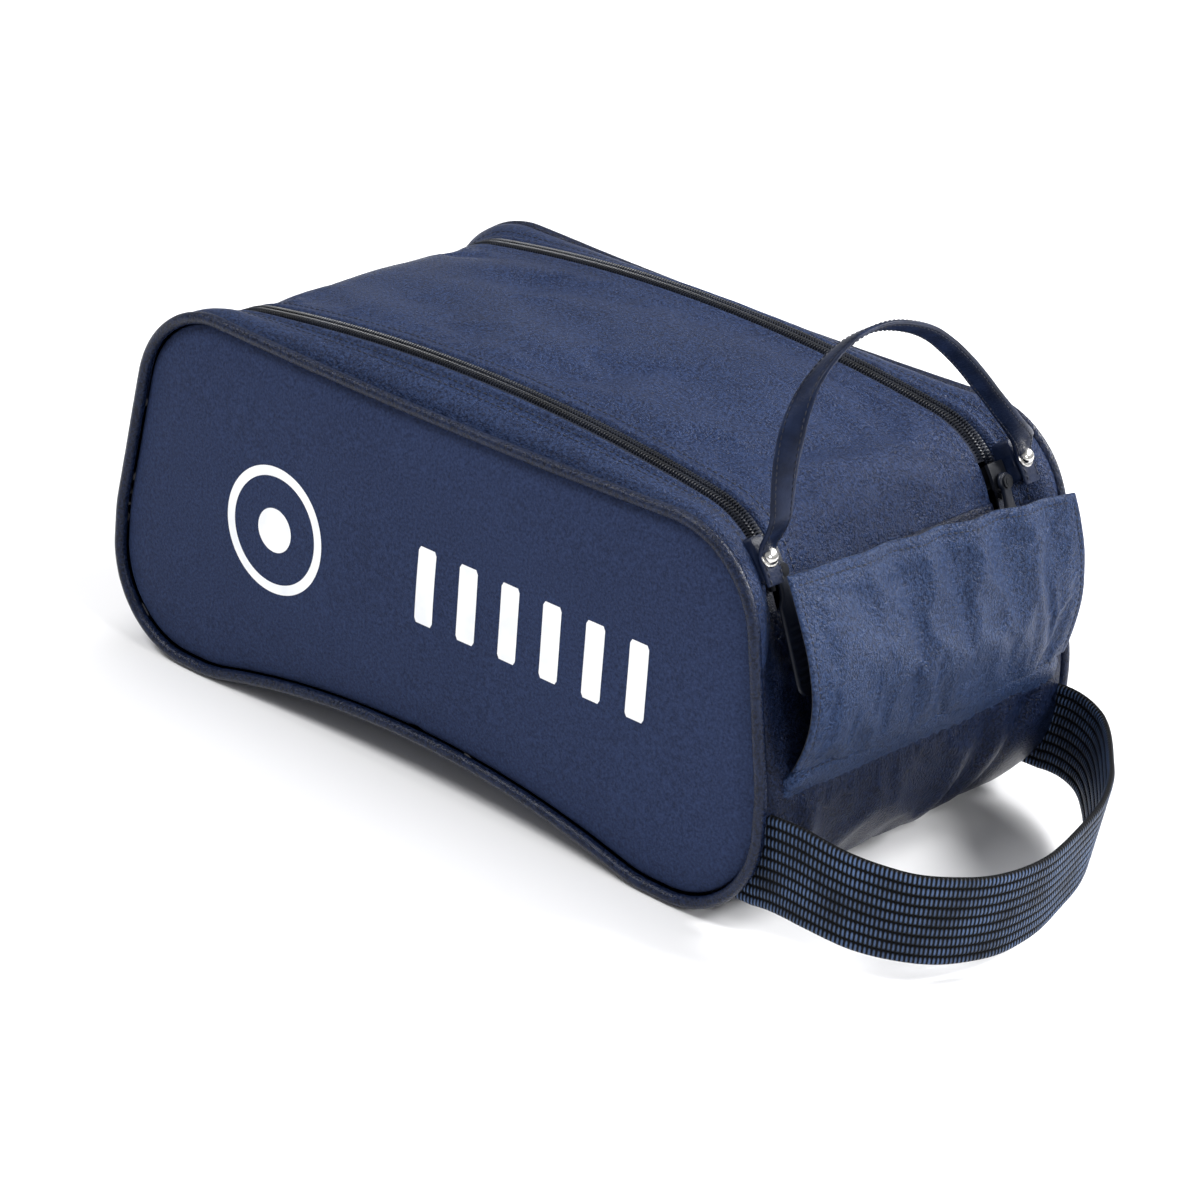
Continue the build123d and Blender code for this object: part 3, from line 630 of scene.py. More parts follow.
ROUNDEL, BARS, BAR_STEP = (-79, 76), (2, 81), 21.0
blocks = []
t = np.linspace(0, 2 * pi, 97)[:-1]
for r0, r1, k in ((22, 26, 4), (0.01, 9, 6)):  # a ring and a dot
    r = np.linspace(r0, r1, k)
    v = on_front(ROUNDEL[0] + r[:, None] * np.cos(t), ROUNDEL[1] + r[:, None] * np.sin(t))
    blocks.append((v, [(b, c, d, a) for a, b, c, d in ring_faces(k, len(t))]))
roundel = merged("print_roundel_ink", blocks, ink)
finish_piece(roundel, "bag", "ink", "print_roundel")
blocks = []
for bar in range(6):
    cx = BARS[0] + bar * BAR_STEP
    gx, gz = grid(np.linspace(-4.5, 4.5, 8), np.linspace(-15.5, 15.5, 20))
    inset = np.clip((np.abs(gz) - 14.6) / 0.9, 0, 1)
    gx = gx * (1 - 0.2 * inset ** 2)
    blocks.append((on_front(cx + gx, BARS[1] + gz), grid_faces(8, 20)))
bars = merged("print_bars_ink", blocks, ink)
finish_piece(bars, "bag", "ink", "print_bars")

# ---- gussets, lid, ends and base
S_SIDE = s_at(116.5)
S_BASE = float(np.interp(-112, -mid_line[mid_s > 330, 0], mid_s[mid_s > 330]))


def seam_pinch(y):
    """How far the cloth is drawn in beside the side panel's seam."""
    return -2.0 * np.exp(-(SEAM_Y - np.abs(y)) / 1.6)


def hem(edge, lip=0.75):
    """Folded and topstitched edge: rounded over, with dimples along two rows of stitching."""
    roll = -1.0 * np.exp(-edge / 0.55) + lip * bell(edge, 2.2, 1.5)
    return roll - 0.35 * bell(edge, STITCH_ROWS[0], 0.8) - 0.3 * bell(edge, STITCH_ROWS[1], 0.8)


def gusset_d(s, y):
    a = np.abs(y)
    p = section(s, y)
    t = np.clip((a - ZIP_OUT) / (SEAM_Y - ZIP_OUT), 0, 1)
    body = 1.1 * np.sin(pi * np.clip((t - 0.25) / 0.75, 0, 1)) + seam_pinch(y)
    wave = 0.35 * fuzz(p, 26, 4.0) + 0.18 * fuzz(p, 9, 1.0)
    return hem(a - ZIP_OUT) + body + wave * (0.3 + 0.7 * t)


def lid_d(s, y):
    a = LID_Y - np.abs(y)
    p = section(s, y)
    ends = np.clip((S_SIDE - np.abs(s)) / 25, 0, 1)
    sag = 1.3 * fuzz(p, 75, 2.2) + 0.45 * fuzz(p, 32, 5.2)
    fold = -1.5 * bell(s, 108 + 0.18 * y, 7) * bell(y, -10, 38)
    fold = fold + 1.2 * bell(s, 124 + 0.2 * y, 9) * bell(y, -5, 36)
    return hem(a) + (sag + fold) * np.clip((a - 7) / 18, 0, 1) * (0.35 + 0.65 * ends)


# folds of the lower end panel: height, place along y, its slope, the level it is taken at, half width, and
# the fold's middle and reach up the panel
END_FOLDS = [
    (2.6, 46, 0.35, 40, 7, 38, 22),
    (-2.3, 60, 0.45, 40, 6, 36, 22),
    (2.0, 22, 0.5, 30, 9, 30, 20),
    (-1.7, 34, 0.5, 30, 7, 30, 22),
    (1.4, -70, 0.1, 0, 5, 40, 16),
]


def ends_d(s, y):
    a = SEAM_Y - np.abs(y)
    p = section(s, y)
    join = np.clip((np.abs(s) - S_SIDE) / 20, 0, 1)
    z = p[..., 2]
    soft = 1.2 * fuzz(p, 48, 8.0) + 0.5 * fuzz(p, 20, 3.0)
    lean = y * 0.35 + z
    folds = np.zeros_like(z)
    for high, at, slope, level, wide, mid, tall in END_FOLDS:
        folds += high * bell(y, at + slope * (z - level), wide) * bell(z, mid, tall)
    calm = 1 - 0.95 * bell(z, 61, 8) * (s > 0)
    folds = np.where(s > 0, folds, 0.6 * fuzz(np.stack([lean, y, z], -1), 24, 6.0))
    base = np.clip(z / 12, 0, 1)
    relief = (soft + folds) * calm
    relief = np.where(base < 1, np.minimum(relief, 0.0), relief)
    return relief * join * base * (1 - np.exp(-a / 9)) + seam_pinch(y)


# s along the top for gussets and lid
s_top = np.arange(-S_SIDE, S_SIDE + 0.1, 2 * S_SIDE / 230)
stitch_blocks = {"bag": [], "lid": []}
SKIN_DEPTH = 3.0


def topstitch(body, y, relief, short):
    """Adds a row of stitches along the top at a distance y from the middle, ending short of the corners."""
    row = np.linspace(-S_SIDE + short, S_SIDE - short, 500)
    across = np.full_like(row, y)
    stitch_blocks[body].append(stitch_row(*skin(row, across, relief(row, across))))


for side, sign in SIDES:
    ys = sign * spaced(ZIP_OUT, SEAM_Y, 1.5, 0.35, 6)
    S, Y = grid(s_top, ys[::sign])
    ds = gusset_d(S, Y)
    blend_ends = np.clip((S_SIDE - np.abs(S)) / 12, 0, 1)
    ds = blend_ends * ds + (1 - blend_ends) * seam_pinch(Y)
    piece = cover(side + "_gusset_skin", S, Y, skin(S, Y, ds)[0], -SKIN_DEPTH, body_fabric)
    finish_piece(piece, "bag", "body_fabric", side + "_gusset")
    for e in STITCH_ROWS:
        topstitch("bag", sign * (ZIP_OUT + e), gusset_d, 4)

ys = spaced(-LID_Y, LID_Y, 3.0, 0.35, 8)
s_lid = spaced(-S_SIDE, S_SIDE - 0.5, 2.6, 0.8, 8, (False, True))
S, Y = grid(s_lid, ys)
outer = skin(S, Y, lid_d(S, Y))[0]
rim_e = np.minimum(LID_Y - np.abs(Y), S_SIDE - np.abs(S))
sewn = 1.0 - 0.96 * np.clip((rim_e - 7.6) / 6, 0, 1)
outer = outer + settle(outer, sewn, grow=0.008, bend=0.8, cap=1.6)
lid = cover("lid_skin", S, Y, outer, -SKIN_DEPTH, lid_fabric)
lid_pieces = [(lid, "body_fabric", ("lid_panel",))]
for e in STITCH_ROWS:
    for sign in (-1, 1):
        topstitch("lid", sign * (LID_Y - e), lid_d, 3)
LINING_Y = 59.3
S, Y = grid(s_lid[2:-1], spaced(-LINING_Y, LINING_Y, 4.0, 0.8, 6))
edge = np.minimum(LINING_Y - np.abs(Y), (S_SIDE - 1 - np.abs(S)))
low = -5.4 + 1.6 * np.exp(-np.clip(edge, 0, 99) / 1.5) + 0.35 * fuzz(section(S, Y), 22, 2.0)
under = cover("lid_underside", S, Y, skin(S, Y, -2.9)[0], low, lining_fabric)
lid_pieces.append((under, "lining_fabric", ("lid_lining", "lid_foam")))

# the lid's bound free edge
bs = np.linspace(S_SIDE - 8.2, S_SIDE - 0.4, 12)
S, Y = grid(bs, spaced(-60.8, 60.8, 2.5, 0.5, 4))
e = np.minimum(S - bs[0], bs[-1] - S)
bd = 0.9 * (1 - np.exp(-e / 0.5)) + 0.12 * fuzz(section(S, Y), 5, 2.0) + lid_d(S, Y) * 0.6
binding = cover("lid_edge_tape", S, Y, skin(S, Y, bd)[0], bd - 1.4, shaded_satin_and_dark_binding)
lid_pieces.append((binding, "tape", ("lid_edge_binding",)))

# end panels and base, one loop of cloth round the bottom
for name, s0, s1, node in (
    ("right_end_skin", S_SIDE, S_BASE, "right_end_panel"),
    ("left_end_skin", -S_BASE, -S_SIDE, "left_end_panel"),
    ("base_skin", S_BASE, 2 * S_END - S_BASE, "base_panel"),
):
    ss = np.linspace(s0, s1, 96 if node != "base_panel" else 70)
    ys = spaced(-SEAM_Y, SEAM_Y, 2.6, 0.6, 7)
    S, Y = grid(ss, ys)
    if node == "base_panel":
        p = section(S, Y)
        d = seam_pinch(Y) + 0.6 * fuzz(p, 45, 1.0) * np.clip(p[..., 2] / 6, 0, 1)
    else:
        d = ends_d(S, Y)
    outer = skin(S, Y, d)[0]
    if node != "base_panel":
        rim_e = np.minimum(SEAM_Y - np.abs(Y), np.minimum(S - s0, s1 - S))
        loose = np.clip((rim_e - 2) / 9, 0, 1) * (1 - bell(outer[..., 2], 60, 9) * (s0 > 0))
        outer = outer + settle(outer, 1.0 - 0.95 * loose, grow=0.015, bend=0.8, cap=1.8)
    outer[..., 2] = np.maximum(outer[..., 2], 0.0)
    # The right end panel gets the darker satin copy, its painted shade; the left end keeps the body fabric.
    cloth = shaded_satin_and_dark_binding if node == "right_end_panel" else body_fabric
    finish_piece(cover(name, S, Y, outer, -SKIN_DEPTH, cloth), "bag", "body_fabric", node)

# ---- lining
LINING_TOP, LINING_LOW, LINING_HALF = -3.05, -3.8, 84.2
ys = np.linspace(-LINING_HALF, LINING_HALF, 60)
ss = np.linspace(S_SIDE, 2 * S_END - S_SIDE, 150)
S, Y = grid(ss, ys)
sagging = 0.5 * fuzz(section(S, Y), 26, 3.0)
low = LINING_LOW + np.minimum(sagging, 0.4)
blocks = [sheet_block(skin(S, Y, LINING_TOP)[0], skin(S, Y, low)[0])]
for sign in (-1, 1):
    ys = sign * np.linspace(ZIP_OUT + 0.3, LINING_HALF, 8)
    S, Y = grid(s_top, ys[::sign])
    blocks.append(sheet_block(skin(S, Y, LINING_TOP)[0], skin(S, Y, LINING_LOW)[0]))
    points = towards_spine(rim_points(3.9), np.linspace(0, 0.99, 14))
    flat = np.stack([points[..., 0], 0 * points[..., 0], points[..., 1]], -1)
    near, far = flat + np.array([0, sign * 84.9, 0]), flat.copy()
    far[..., 1] = sign * (84.1 - 0.5 * fuzz(flat, 30, 4.0) - 0.3)
    blocks.append((both(near, far), hoop_faces(*points.shape[:2], sign > 0)))
lining = merged("lining_skin", blocks, lining_fabric)
finish_piece(lining, "bag", "lining_fabric", "lining")

# ---- zips
PITCH = 1.3
ZIP_END_S = s_at(112 + 38.5 * sin(radians(21)))
LID_ZIP_S = s_at(112 + 38.5 * sin(radians(41)))


def loops(s0, s1, y_mid, way, offset):
    """A zip coil's loops, standing on the tape between two distances round the form."""
    shape = [(3.1, -0.9), (3.15, -0.1), (2.6, 0.7), (1.8, 0.85), (1.0, 0.55), (0.82, -0.1), (0.95, -0.6)]
    sides = 6
    starts = np.arange(s0 + offset, s1 - 1, PITCH)
    angles = np.linspace(0, 2 * pi, sides, endpoint=False)
    s_all = np.array([[s + 0.28 * (k / 3 - 1) for k in range(len(shape))] for s in starts])
    y_all = np.array([[y_mid + way * a for a, h in shape]] * len(starts))
    h_all = np.array([[h for a, h in shape]] * len(starts))
    centres = skin(s_all, y_all, h_all)[0]
    along = unit(skin(s_all + 0.5, y_all, h_all)[0] - skin(s_all - 0.5, y_all, h_all)[0])
    third = np.cross(along, unit(np.gradient(centres, axis=1)))
    radius = 0.4
    ring = np.cos(angles)[:, None] * along[..., None, :] + np.sin(angles)[:, None] * third[..., None, :]
    pts = centres[..., None, :] + radius * ring
    k = len(shape)
    faces = [q for a in range(len(starts)) for q in ring_faces(k, sides, a * k * sides)]
    return pts.reshape(-1, 3), faces


for side, sign in SIDES:
    y0 = sign * ZIP_Y
    for half, way, s1 in (("bag", sign, ZIP_END_S), ("lid", -sign, LID_ZIP_S)):
        ys = np.sort([y0 + way * e for e in (0.5, 1.5, 3.0, 4.2, 5.0)])
        tape_end = s1 if half == "lid" else S_SIDE
        ss = np.linspace(-S_SIDE + (1 if half == "lid" else 0), tape_end, 200)
        S, Y = grid(ss, ys)
        top = -1.0 + 0.08 * fuzz(section(S, Y), 6, 3.0)
        tape = cover(side + "_tape_" + half, S, Y, skin(S, Y, top)[0], -2.0, tape_fabric)
        block = loops(-S_SIDE + 3, s1, y0, way, 0.0 if half == "bag" else PITCH / 2)
        coil = merged(side + "_coil_" + half, [block], coil_mat)
        if half == "bag":
            finish_piece(tape, "bag", "tape", side + "_zip_tape_bag")
            finish_piece(coil, "bag", "coil", side + "_zip_coil_bag")
        else:
            lid_pieces.append((tape, "tape", (side + "_zip_tape_lid",)))
            lid_pieces.append((coil, "coil", (side + "_zip_coil_lid",)))

# ---- end flap
FLAP_FOOT_Z, FLAP_TOP_Z = 64.0, 133.5
FLAP_WIDE, FLAP_TALL = 162, 69
FLAP_ROW = 3.0 / FLAP_WIDE
# place along the flap, half width and height of each ripple under its top edge
FLAP_RIPPLES = [
    (-38, 6, 1.3), (-22, 5, -1.5), (-8, 5, 1.7), (5, 5, -1.5), (20, 6.5, 1.9), (36, 6, -1.4), (49, 6, 1.5),
    (63, 6, -0.8),
]


def flap_point(t, q, depth=0.0):
    """t from the foot to the top edge, q from the front side to the back one."""
    y = -80 + 162.5 * q + (1 - 2 * q) * (5.0 * t ** 2.5) + 1.5 * np.sin(pi * t) * (2 * q - 1)
    z = FLAP_FOOT_Z + (FLAP_TOP_Z - FLAP_FOOT_Z) * t + 1.5 * t * (1 - 2 * q) + 1.3 * t * np.sin(pi * q)
    z = z + 2.0 * (1 - t) * (2 * q - 1) ** 2
    top_x = 157.5 + 9.5 * q ** 0.8 + 4.5 * q ** 3
    x = 172.6 + (top_x - 172.6) * (0.25 * t + 0.75 * t ** 2.2) + (9.8 - 5.0 * q) * np.sin(pi * t ** 0.9)
    top = np.clip((t - 0.35) / 0.5, 0, 1) * (1 - 0.45 * np.clip((t - 0.85) / 0.15, 0, 1))
    u = y - 9 * (1 - t)
    for at, wide, high in FLAP_RIPPLES:
        x = x + 1.25 * high * bell(u, at, wide) * top
    p = np.stack([x, y, z], -1)
    x = x + (0.5 * fuzz(p, 30, 4.4) + 0.25 * fuzz(p, 12, 1.4)) * np.clip(t * 4, 0, 1)
    return np.stack([x - depth, y, z], -1)


T, Q = grid(spaced(0, 1, 0.016, 0.006, 0.08), spaced(0, 1, 0.0095, 0.003, 0.05))
rim_e = np.minimum(np.minimum(Q, 1 - Q) * FLAP_WIDE, (1 - T) * FLAP_TALL)
thinned = 0.9 * np.exp(-rim_e / 0.6) + 0.35 * bell(rim_e, 3.0, 0.8)
thinned = np.stack([thinned, 0 * T, 0 * T], -1)
sewn = 1.0 - 0.97 * np.clip((rim_e - 3.6) / 5, 0, 1)
buckle = settle(flap_point(T, Q), sewn, grow=0.02, bend=0.6, cap=2.2)
outer = flap_point(T, Q, 0) - thinned + buckle
middle = flap_point(T, Q, 1.25) + buckle
inner = flap_point(T, Q, 2.4) + thinned + buckle
flap_uv = np.stack([Q * FLAP_WIDE, T * FLAP_TALL], -1)
flap_out = slab("end_flap_face", outer, middle, flap_uv, satin)
flap_in = slab("end_flap_back", middle + np.array([0.03, 0, 0]), inner, flap_uv, lining_fabric)
rows = []
tt = np.linspace(0.06, 0.957, 120)
for q_row in (FLAP_ROW, 1 - FLAP_ROW):
    p = flap_point(tt, np.full_like(tt, q_row), 0.35)
    rows.append(stitch_row(p, np.tile([1, 0, 0.0], (len(p), 1)), 2.7, 1.9))
qq = np.linspace(FLAP_ROW, 1 - FLAP_ROW, 200)
p = flap_point(np.full_like(qq, 0.957), qq, 0.35)
rows.append(stitch_row(p, np.tile([1, 0, 0.25], (len(p), 1)), 2.7, 1.9))
flap_thread = merged("end_flap_stitching", rows, thread)

# hem of the lower end panel, which holds the flap's foot
HEM_Y, HEM_Z, HEM_TALL, HEM_STITCH = 81.5, 67.0, 14, 3.6


def hem_ease(y):
    """0 at the ends of the hem, where it goes into the seams, and 1 along its middle."""
    ease = np.clip((HEM_Y - np.abs(y)) / 9, 0, 1)
    return np.sqrt(ease * (2 - ease))


H, Q = grid(np.r_[np.linspace(0, 1.5, 6), np.linspace(2.2, HEM_TALL, 14)], np.linspace(0, 1, 120))
y = -HEM_Y + 2 * HEM_Y * Q
z = HEM_Z + 0.8 * (2 * Q - 1) ** 2 - H
ease = hem_ease(y)
stand = (0.2 + 4.2 * ease) * (1 - (H / HEM_TALL) ** 2) ** 1.5 - 0.3
stand = stand - 0.5 * bell(H, HEM_STITCH, 0.9) * ease + 0.15 * fuzz(np.stack([y, z, 0 * y], -1), 12, 2.0)
stand = stand - 0.7 * ease * np.exp(-H / 0.45)
hem_s = np.vectorize(s_at)(z)
outer = skin(hem_s, y, stand)[0]
inner = skin(hem_s, y, np.minimum(stand - 1.0, -0.4))[0]
hem_piece = slab("flap_hem", outer, inner, np.stack([y, z], -1), satin)
finish_piece(hem_piece, "bag", "body_fabric", "flap_seam_strip")
row_y = np.linspace(-76, 76, 300)
row_s = np.vectorize(s_at)(HEM_Z + 0.8 * (row_y / HEM_Y) ** 2 - HEM_STITCH)
row_stand = (0.2 + 4.2 * hem_ease(row_y)) * 0.9 - 0.75
stitch_blocks["bag"].append(stitch_row(*skin(row_s, row_y, row_stand), 2.8, 1.9))

# ---- carry handle
def smooth_path(points, n):
    """Catmull-Rom curve through points, evenly spaced."""
    p = np.asarray(points, float)
    p = np.vstack([2 * p[0] - p[1], p, 2 * p[-1] - p[-2]])
    out = []
    for i in range(1, len(p) - 2):
        for t in np.linspace(0, 1, 24, endpoint=False):
            a, b, c, d = p[i - 1], p[i], p[i + 1], p[i + 2]
            square, cube = 2 * a - 5 * b + 4 * c - d, 3 * b - a - 3 * c + d
            out.append(0.5 * (2 * b + (c - a) * t + square * t ** 2 + cube * t ** 3))
    out.append(p[-2])
    out = np.array(out)
    run = np.r_[0, np.cumsum(np.linalg.norm(np.diff(out, axis=0), axis=1))]
    even = np.linspace(0, run[-1], n)
    return np.stack([np.interp(even, run, out[:, c]) for c in range(out.shape[1])], 1), run[-1]


HANDLE_LINE = [
    (155, -86.4), (168, -86.5), (181, -86.4), (193, -85.5), (209, -81), (223, -71.5), (234, -57), (240, -40),
    (241, -22), (238, -2), (231, 25), (222, 44), (212, 58), (202, 70), (192, 78.5), (180, 83.5), (168, 85.6),
    (155, 86.0),
]
HANDLE_HALF = 19.0
PIVOT = (193.0, 31.0)
plan, handle_len = smooth_path(HANDLE_LINE, 420)
tan = unit(np.gradient(plan, axis=0))
nrm = np.c_[tan[:, 1], -tan[:, 0]]
rib_rows = 9
hs = np.linspace(-HANDLE_HALF, HANDLE_HALF, rib_rows * 8 + 1)
along = np.linspace(0, handle_len, len(plan))
rib = 0.55 * np.abs(np.sin(pi * (hs + HANDLE_HALF) / (2 * HANDLE_HALF) * rib_rows)) ** 0.7 - 0.3
A, H = grid(along, hs)
loose = 0.5 * fuzz(np.stack([A, H * 0.3, 0 * A], -1), 30, 1.0)


def band(offset):
    """Surface of the band at an offset from its middle."""
    x = plan[:, 0][:, None] + nrm[:, 0][:, None] * (offset + loose)
    y = plan[:, 1][:, None] + nrm[:, 1][:, None] * (offset + loose)
    h = H * (1 - 0.012 * np.sin(A / 9) ** 2)
    a = radians(9.5) * np.clip((x - 165) / 28, 0, 1)
    dx = x - PIVOT[0]
    turned_x = PIVOT[0] + dx * np.cos(a) + h * np.sin(a)
    turned_z = PIVOT[1] - dx * np.sin(a) + h * np.cos(a)
    return np.stack([turned_x, y, turned_z], -1)


thick = 1.15 + rib[None, :] - 0.8 * np.exp(-(HANDLE_HALF - np.abs(H)) / 0.5)
handle = slab("handle_band", band(thick), band(-thick), np.stack([A, H + HANDLE_HALF], -1), web_mat)

# ---- hang loop
LOOP_RIB = [  # centre line and the direction across the strap
    ((152.3, -75.2, 130.6), (0, 1, 0)), ((149.8, -75.2, 135.2), (0, 1, 0)),
    ((147.3, -75.2, 139.4), (0, 1, 0)), ((147.2, -75.4, 143.6), (0, 1, 0)),
    ((149.3, -75.9, 148.2), (0.1, 1, 0)), ((151.6, -76.7, 152.8), (0.2, 1, 0)),
    ((153.2, -77.6, 158.0), (0.3, 1, 0)), ((153.4, -78.3, 168.0), (0.5, 0.9, 0.1)),
    ((153.4, -78.0, 180.0), (0.7, 0.7, 0.2)), ((153.2, -74.5, 194.0), (0.85, 0.35, 0.4)),
    ((153.0, -66.5, 206.0), (0.85, 0.1, 0.5)), ((152.8, -52.0, 214.8), (0.84, 0, 0.54)),
    ((152.7, -36.0, 217.4), (0.83, 0, 0.56)), ((152.7, -20.0, 215.2), (0.83, 0, 0.56)),
    ((152.7, -0.5, 207.6), (0.84, 0.1, 0.54)), ((152.7, 20.0, 193.0), (0.86, 0.15, 0.5)),
    ((152.8, 41.0, 174.0), (0.88, 0.25, 0.45)), ((152.9, 56.0, 160.0), (0.9, 0.45, 0.4)),
    ((151.6, 65.0, 152.4), (0.6, 0.9, 0.3)), ((149.2, 70.5, 147.6), (0.25, 1, 0.3)),
    ((147.4, 74.0, 143.0), (0, 1, 0.15)), ((147.4, 75.2, 139.2), (0, 1, 0)),
    ((149.9, 75.6, 135.0), (0, 1, 0)), ((152.3, 75.8, 130.8), (0, 1, 0)),
]
centre = smooth_path([p for p, w in LOOP_RIB], 260)[0]
steps = [np.linalg.norm(np.subtract(b[0], a[0])) for a, b in zip(LOOP_RIB, LOOP_RIB[1:])]
knots = np.r_[0, np.cumsum(steps)]
run = np.linspace(0, knots[-1], 260)
unit_wide = [unit(np.array(w)) for p, w in LOOP_RIB]
wide = np.stack([np.interp(run, knots, [w[c] for w in unit_wide]) for c in range(3)], 1)
for _ in range(12):
    wide[1:-1] = (wide[:-2] + 2 * wide[1:-1] + wide[2:]) / 4
tan = unit(np.gradient(centre, axis=0))
wide = unit(wide - tan * (wide * tan).sum(1)[:, None])
face = np.cross(wide, tan)
widths = np.linspace(-1, 1, 15)
LOOP_HALF = 4.6
half_w = LOOP_HALF + 0.15 * fuzz(centre, 12, 1.0)
R, U = grid(run, widths)
thick = 1.05 * np.sqrt(np.clip(1 - np.abs(U) ** 6, 0.02, 1)) + 0.12 * bell(U, 0, 0.5)
thick = thick - 0.18 * (bell(np.abs(U), 0.7, 0.12))
mid_pts = centre[:, None] + wide[:, None] * (half_w[:, None] * widths[None])[..., None]
lift = face[:, None] * thick[..., None]
strap = slab("hang_strap", mid_pts + lift, mid_pts - lift, np.stack([R, U * LOOP_HALF], -1), leather)
rows = []
for u in (-0.7, 0.7):
    for face_sign in (1, -1):
        line = centre + wide * (half_w * u)[:, None] + face * face_sign * 0.95
        rows.append(stitch_row(line, face * face_sign, 2.6, 1.8, 0.24))
strap_thread = merged("hang_strap_stitching", rows, thread)

# ---- pads and rivets
RIVET_ANGLE = radians(35)
out_dir = np.array([cos(RIVET_ANGLE), 0, sin(RIVET_ANGLE)])
down_dir = np.array([sin(RIVET_ANGLE), 0, -cos(RIVET_ANGLE)])
side_dir = np.array([0, 1.0, 0])
RIVET_Y = 75.2
PAD_TALL, PAD_WIDE, PAD_OUT, PAD_SEAT = 8.5, 4.1, 46.3, 38.0
RIVET_OUT = 48.6
centre_of_shoulder = np.array([108.0, 0, 112.0])


def turned(profile, at, axis, sides=40):
    """(verts, faces) of a profile of (radius, height) turned about an axis."""
    a = unit(np.cross(axis, [0, 1, 0.001]))
    b = np.cross(axis, a)
    t = np.linspace(0, 2 * pi, sides, endpoint=False)
    v = [at + axis * h + r * (cos(x) * a + sin(x) * b) for r, h in profile for x in t]
    return np.array(v), ring_faces(len(profile), sides)


RIVET_PROFILE = [
    (0.001, 3.0), (1.2, 2.95), (2.2, 2.6), (2.95, 2.0), (3.35, 1.2), (3.3, 0.75), (3.05, 0.55), (3.95, 0.5),
    (4.2, 0.3), (4.2, -0.1), (1.5, -0.2), (1.5, -15.6), (0.001, -15.6),
]
for side, sign in SIDES:
    y0 = sign * RIVET_Y
    g1, g2 = grid(np.linspace(-1, 1, 24), np.linspace(-1, 1, 14))
    rr = np.clip(np.maximum(np.abs(g1), np.abs(g2)), 0, 1)
    squeeze = 1 - 0.12 * (g1 ** 4) * (g2 ** 4)
    base = centre_of_shoulder + np.array([0, y0, 0])
    plan_pts = base + down_dir * (g1 * PAD_TALL * squeeze)[..., None]
    plan_pts = plan_pts + side_dir * (g2 * PAD_WIDE * squeeze)[..., None]
    height = PAD_OUT - 0.8 * np.exp(-(1 - rr) * 7)
    pad = slab(side + "_loop_pad_skin", plan_pts + out_dir * height[..., None], plan_pts + out_dir * PAD_SEAT,
               np.stack([g1 * PAD_TALL, g2 * PAD_WIDE], -1), leather)
    finish_piece(pad, "bag", "strap_leather", side + "_loop_pad")
    seat = base + out_dir * RIVET_OUT
    rivet = merged(side + "_rivet_dome", [turned(RIVET_PROFILE[::-1], seat, out_dir)], nickel, 35)
    finish_piece(rivet, "bag", "nickel", side + "_rivet")

# ---- pullers
STUD = np.array([143.997, 0, 130.341])
PULL_ANGLE, EYE_R, HOLE_R, PULL_END = radians(23.5), 3.6, 1.75, 46.0
n_dir = np.array([cos(PULL_ANGLE), 0, sin(PULL_ANGLE)])
d_dir = np.array([sin(PULL_ANGLE), 0, -cos(PULL_ANGLE)])
for side, sign in SIDES:
    start = STUD + np.array([0, sign * ZIP_Y, 0])
    # outline half width along the puller, with an eye round the stud at its top
    ls = np.r_[np.linspace(-EYE_R, 3.4, 22), np.linspace(3.8, PULL_END, 110)]
    half = []
    for l in ls:
        if l <= 2.6:
            half.append(math.sqrt(max(EYE_R ** 2 - l ** 2, 0.0)))
        elif l < 8.5:
            half.append(2.35 + 0.25 * ((l - 5.5) / 3) ** 2)
        else:
            grow = min(1, (l - 8.5) / 5)
            tail = max(0.0, (l - 41.5) / 4.5)
            half.append((2.6 + 2.2 * grow * grow * (3 - 2 * grow)) * math.sqrt(max(0.0, 1 - tail ** 2)))
    half = np.array(half)
    us = np.linspace(-1, 1, 17)
    L, U = grid(ls, us)
    W = half[:, None] * U
    hole = np.sqrt(L ** 2 + W ** 2)
    body = np.sqrt(np.clip(1 - np.abs(U) ** 5, 0.03, 1))
    ribs = np.where((L > 19) & (L < 42), 0.38 * np.cos(2 * pi * (L - 19) / 2.9), 0)
    ribs = ribs * np.clip((0.72 - np.abs(U)) * 6, 0, 1)
    frame_line = 0.3 * bell(np.abs(U), 0.82, 0.08) * np.clip((L - 12) / 4, 0, 1)
    high = 1.15 * body + ribs * 0.6 + frame_line
    keep = hole > HOLE_R
    mid_p = start + n_dir * 2.5 + d_dir * L[..., None] + side_dir * W[..., None]
    k = L.size
    face_up = mid_p + n_dir * high[..., None]
    face_down = mid_p - n_dir * (1.1 * body)[..., None]
    n, m = L.shape
    faces = []
    for i in range(n - 1):
        for j in range(m - 1):
            if keep[i, j] and keep[i + 1, j] and keep[i, j + 1] and keep[i + 1, j + 1]:
                q = (i * m + j, (i + 1) * m + j, (i + 1) * m + j + 1, i * m + j + 1)
                faces.append(q)
                faces.append(tuple(a + k for a in q[::-1]))
    edges = {}
    for q in faces:
        for a, b in zip(q, q[1:] + q[:1]):
            if edges.pop((b, a), None) is None:
                edges[(a, b)] = True
    for a, b in edges:
        if a < k and b < k:
            faces.append((b, a, a + k, b + k))
    uv = np.stack([L, W], -1)
    puller = mesh_object(side + "_puller_grip", both(face_up, face_down), faces, both(uv, uv), rubber)
    finish_piece(puller, side + "_puller", "grip_rubber", side + "_puller")

# ---- stitching, and the lid, flap, loop and handle pieces baked in place
bag_thread = merged("bag_stitching", stitch_blocks["bag"], thread)
finish_piece(bag_thread, "bag", "body_fabric")
lid_thread = merged("lid_stitching", stitch_blocks["lid"], thread)
lid_pieces.append((lid_thread, "body_fabric", ()))

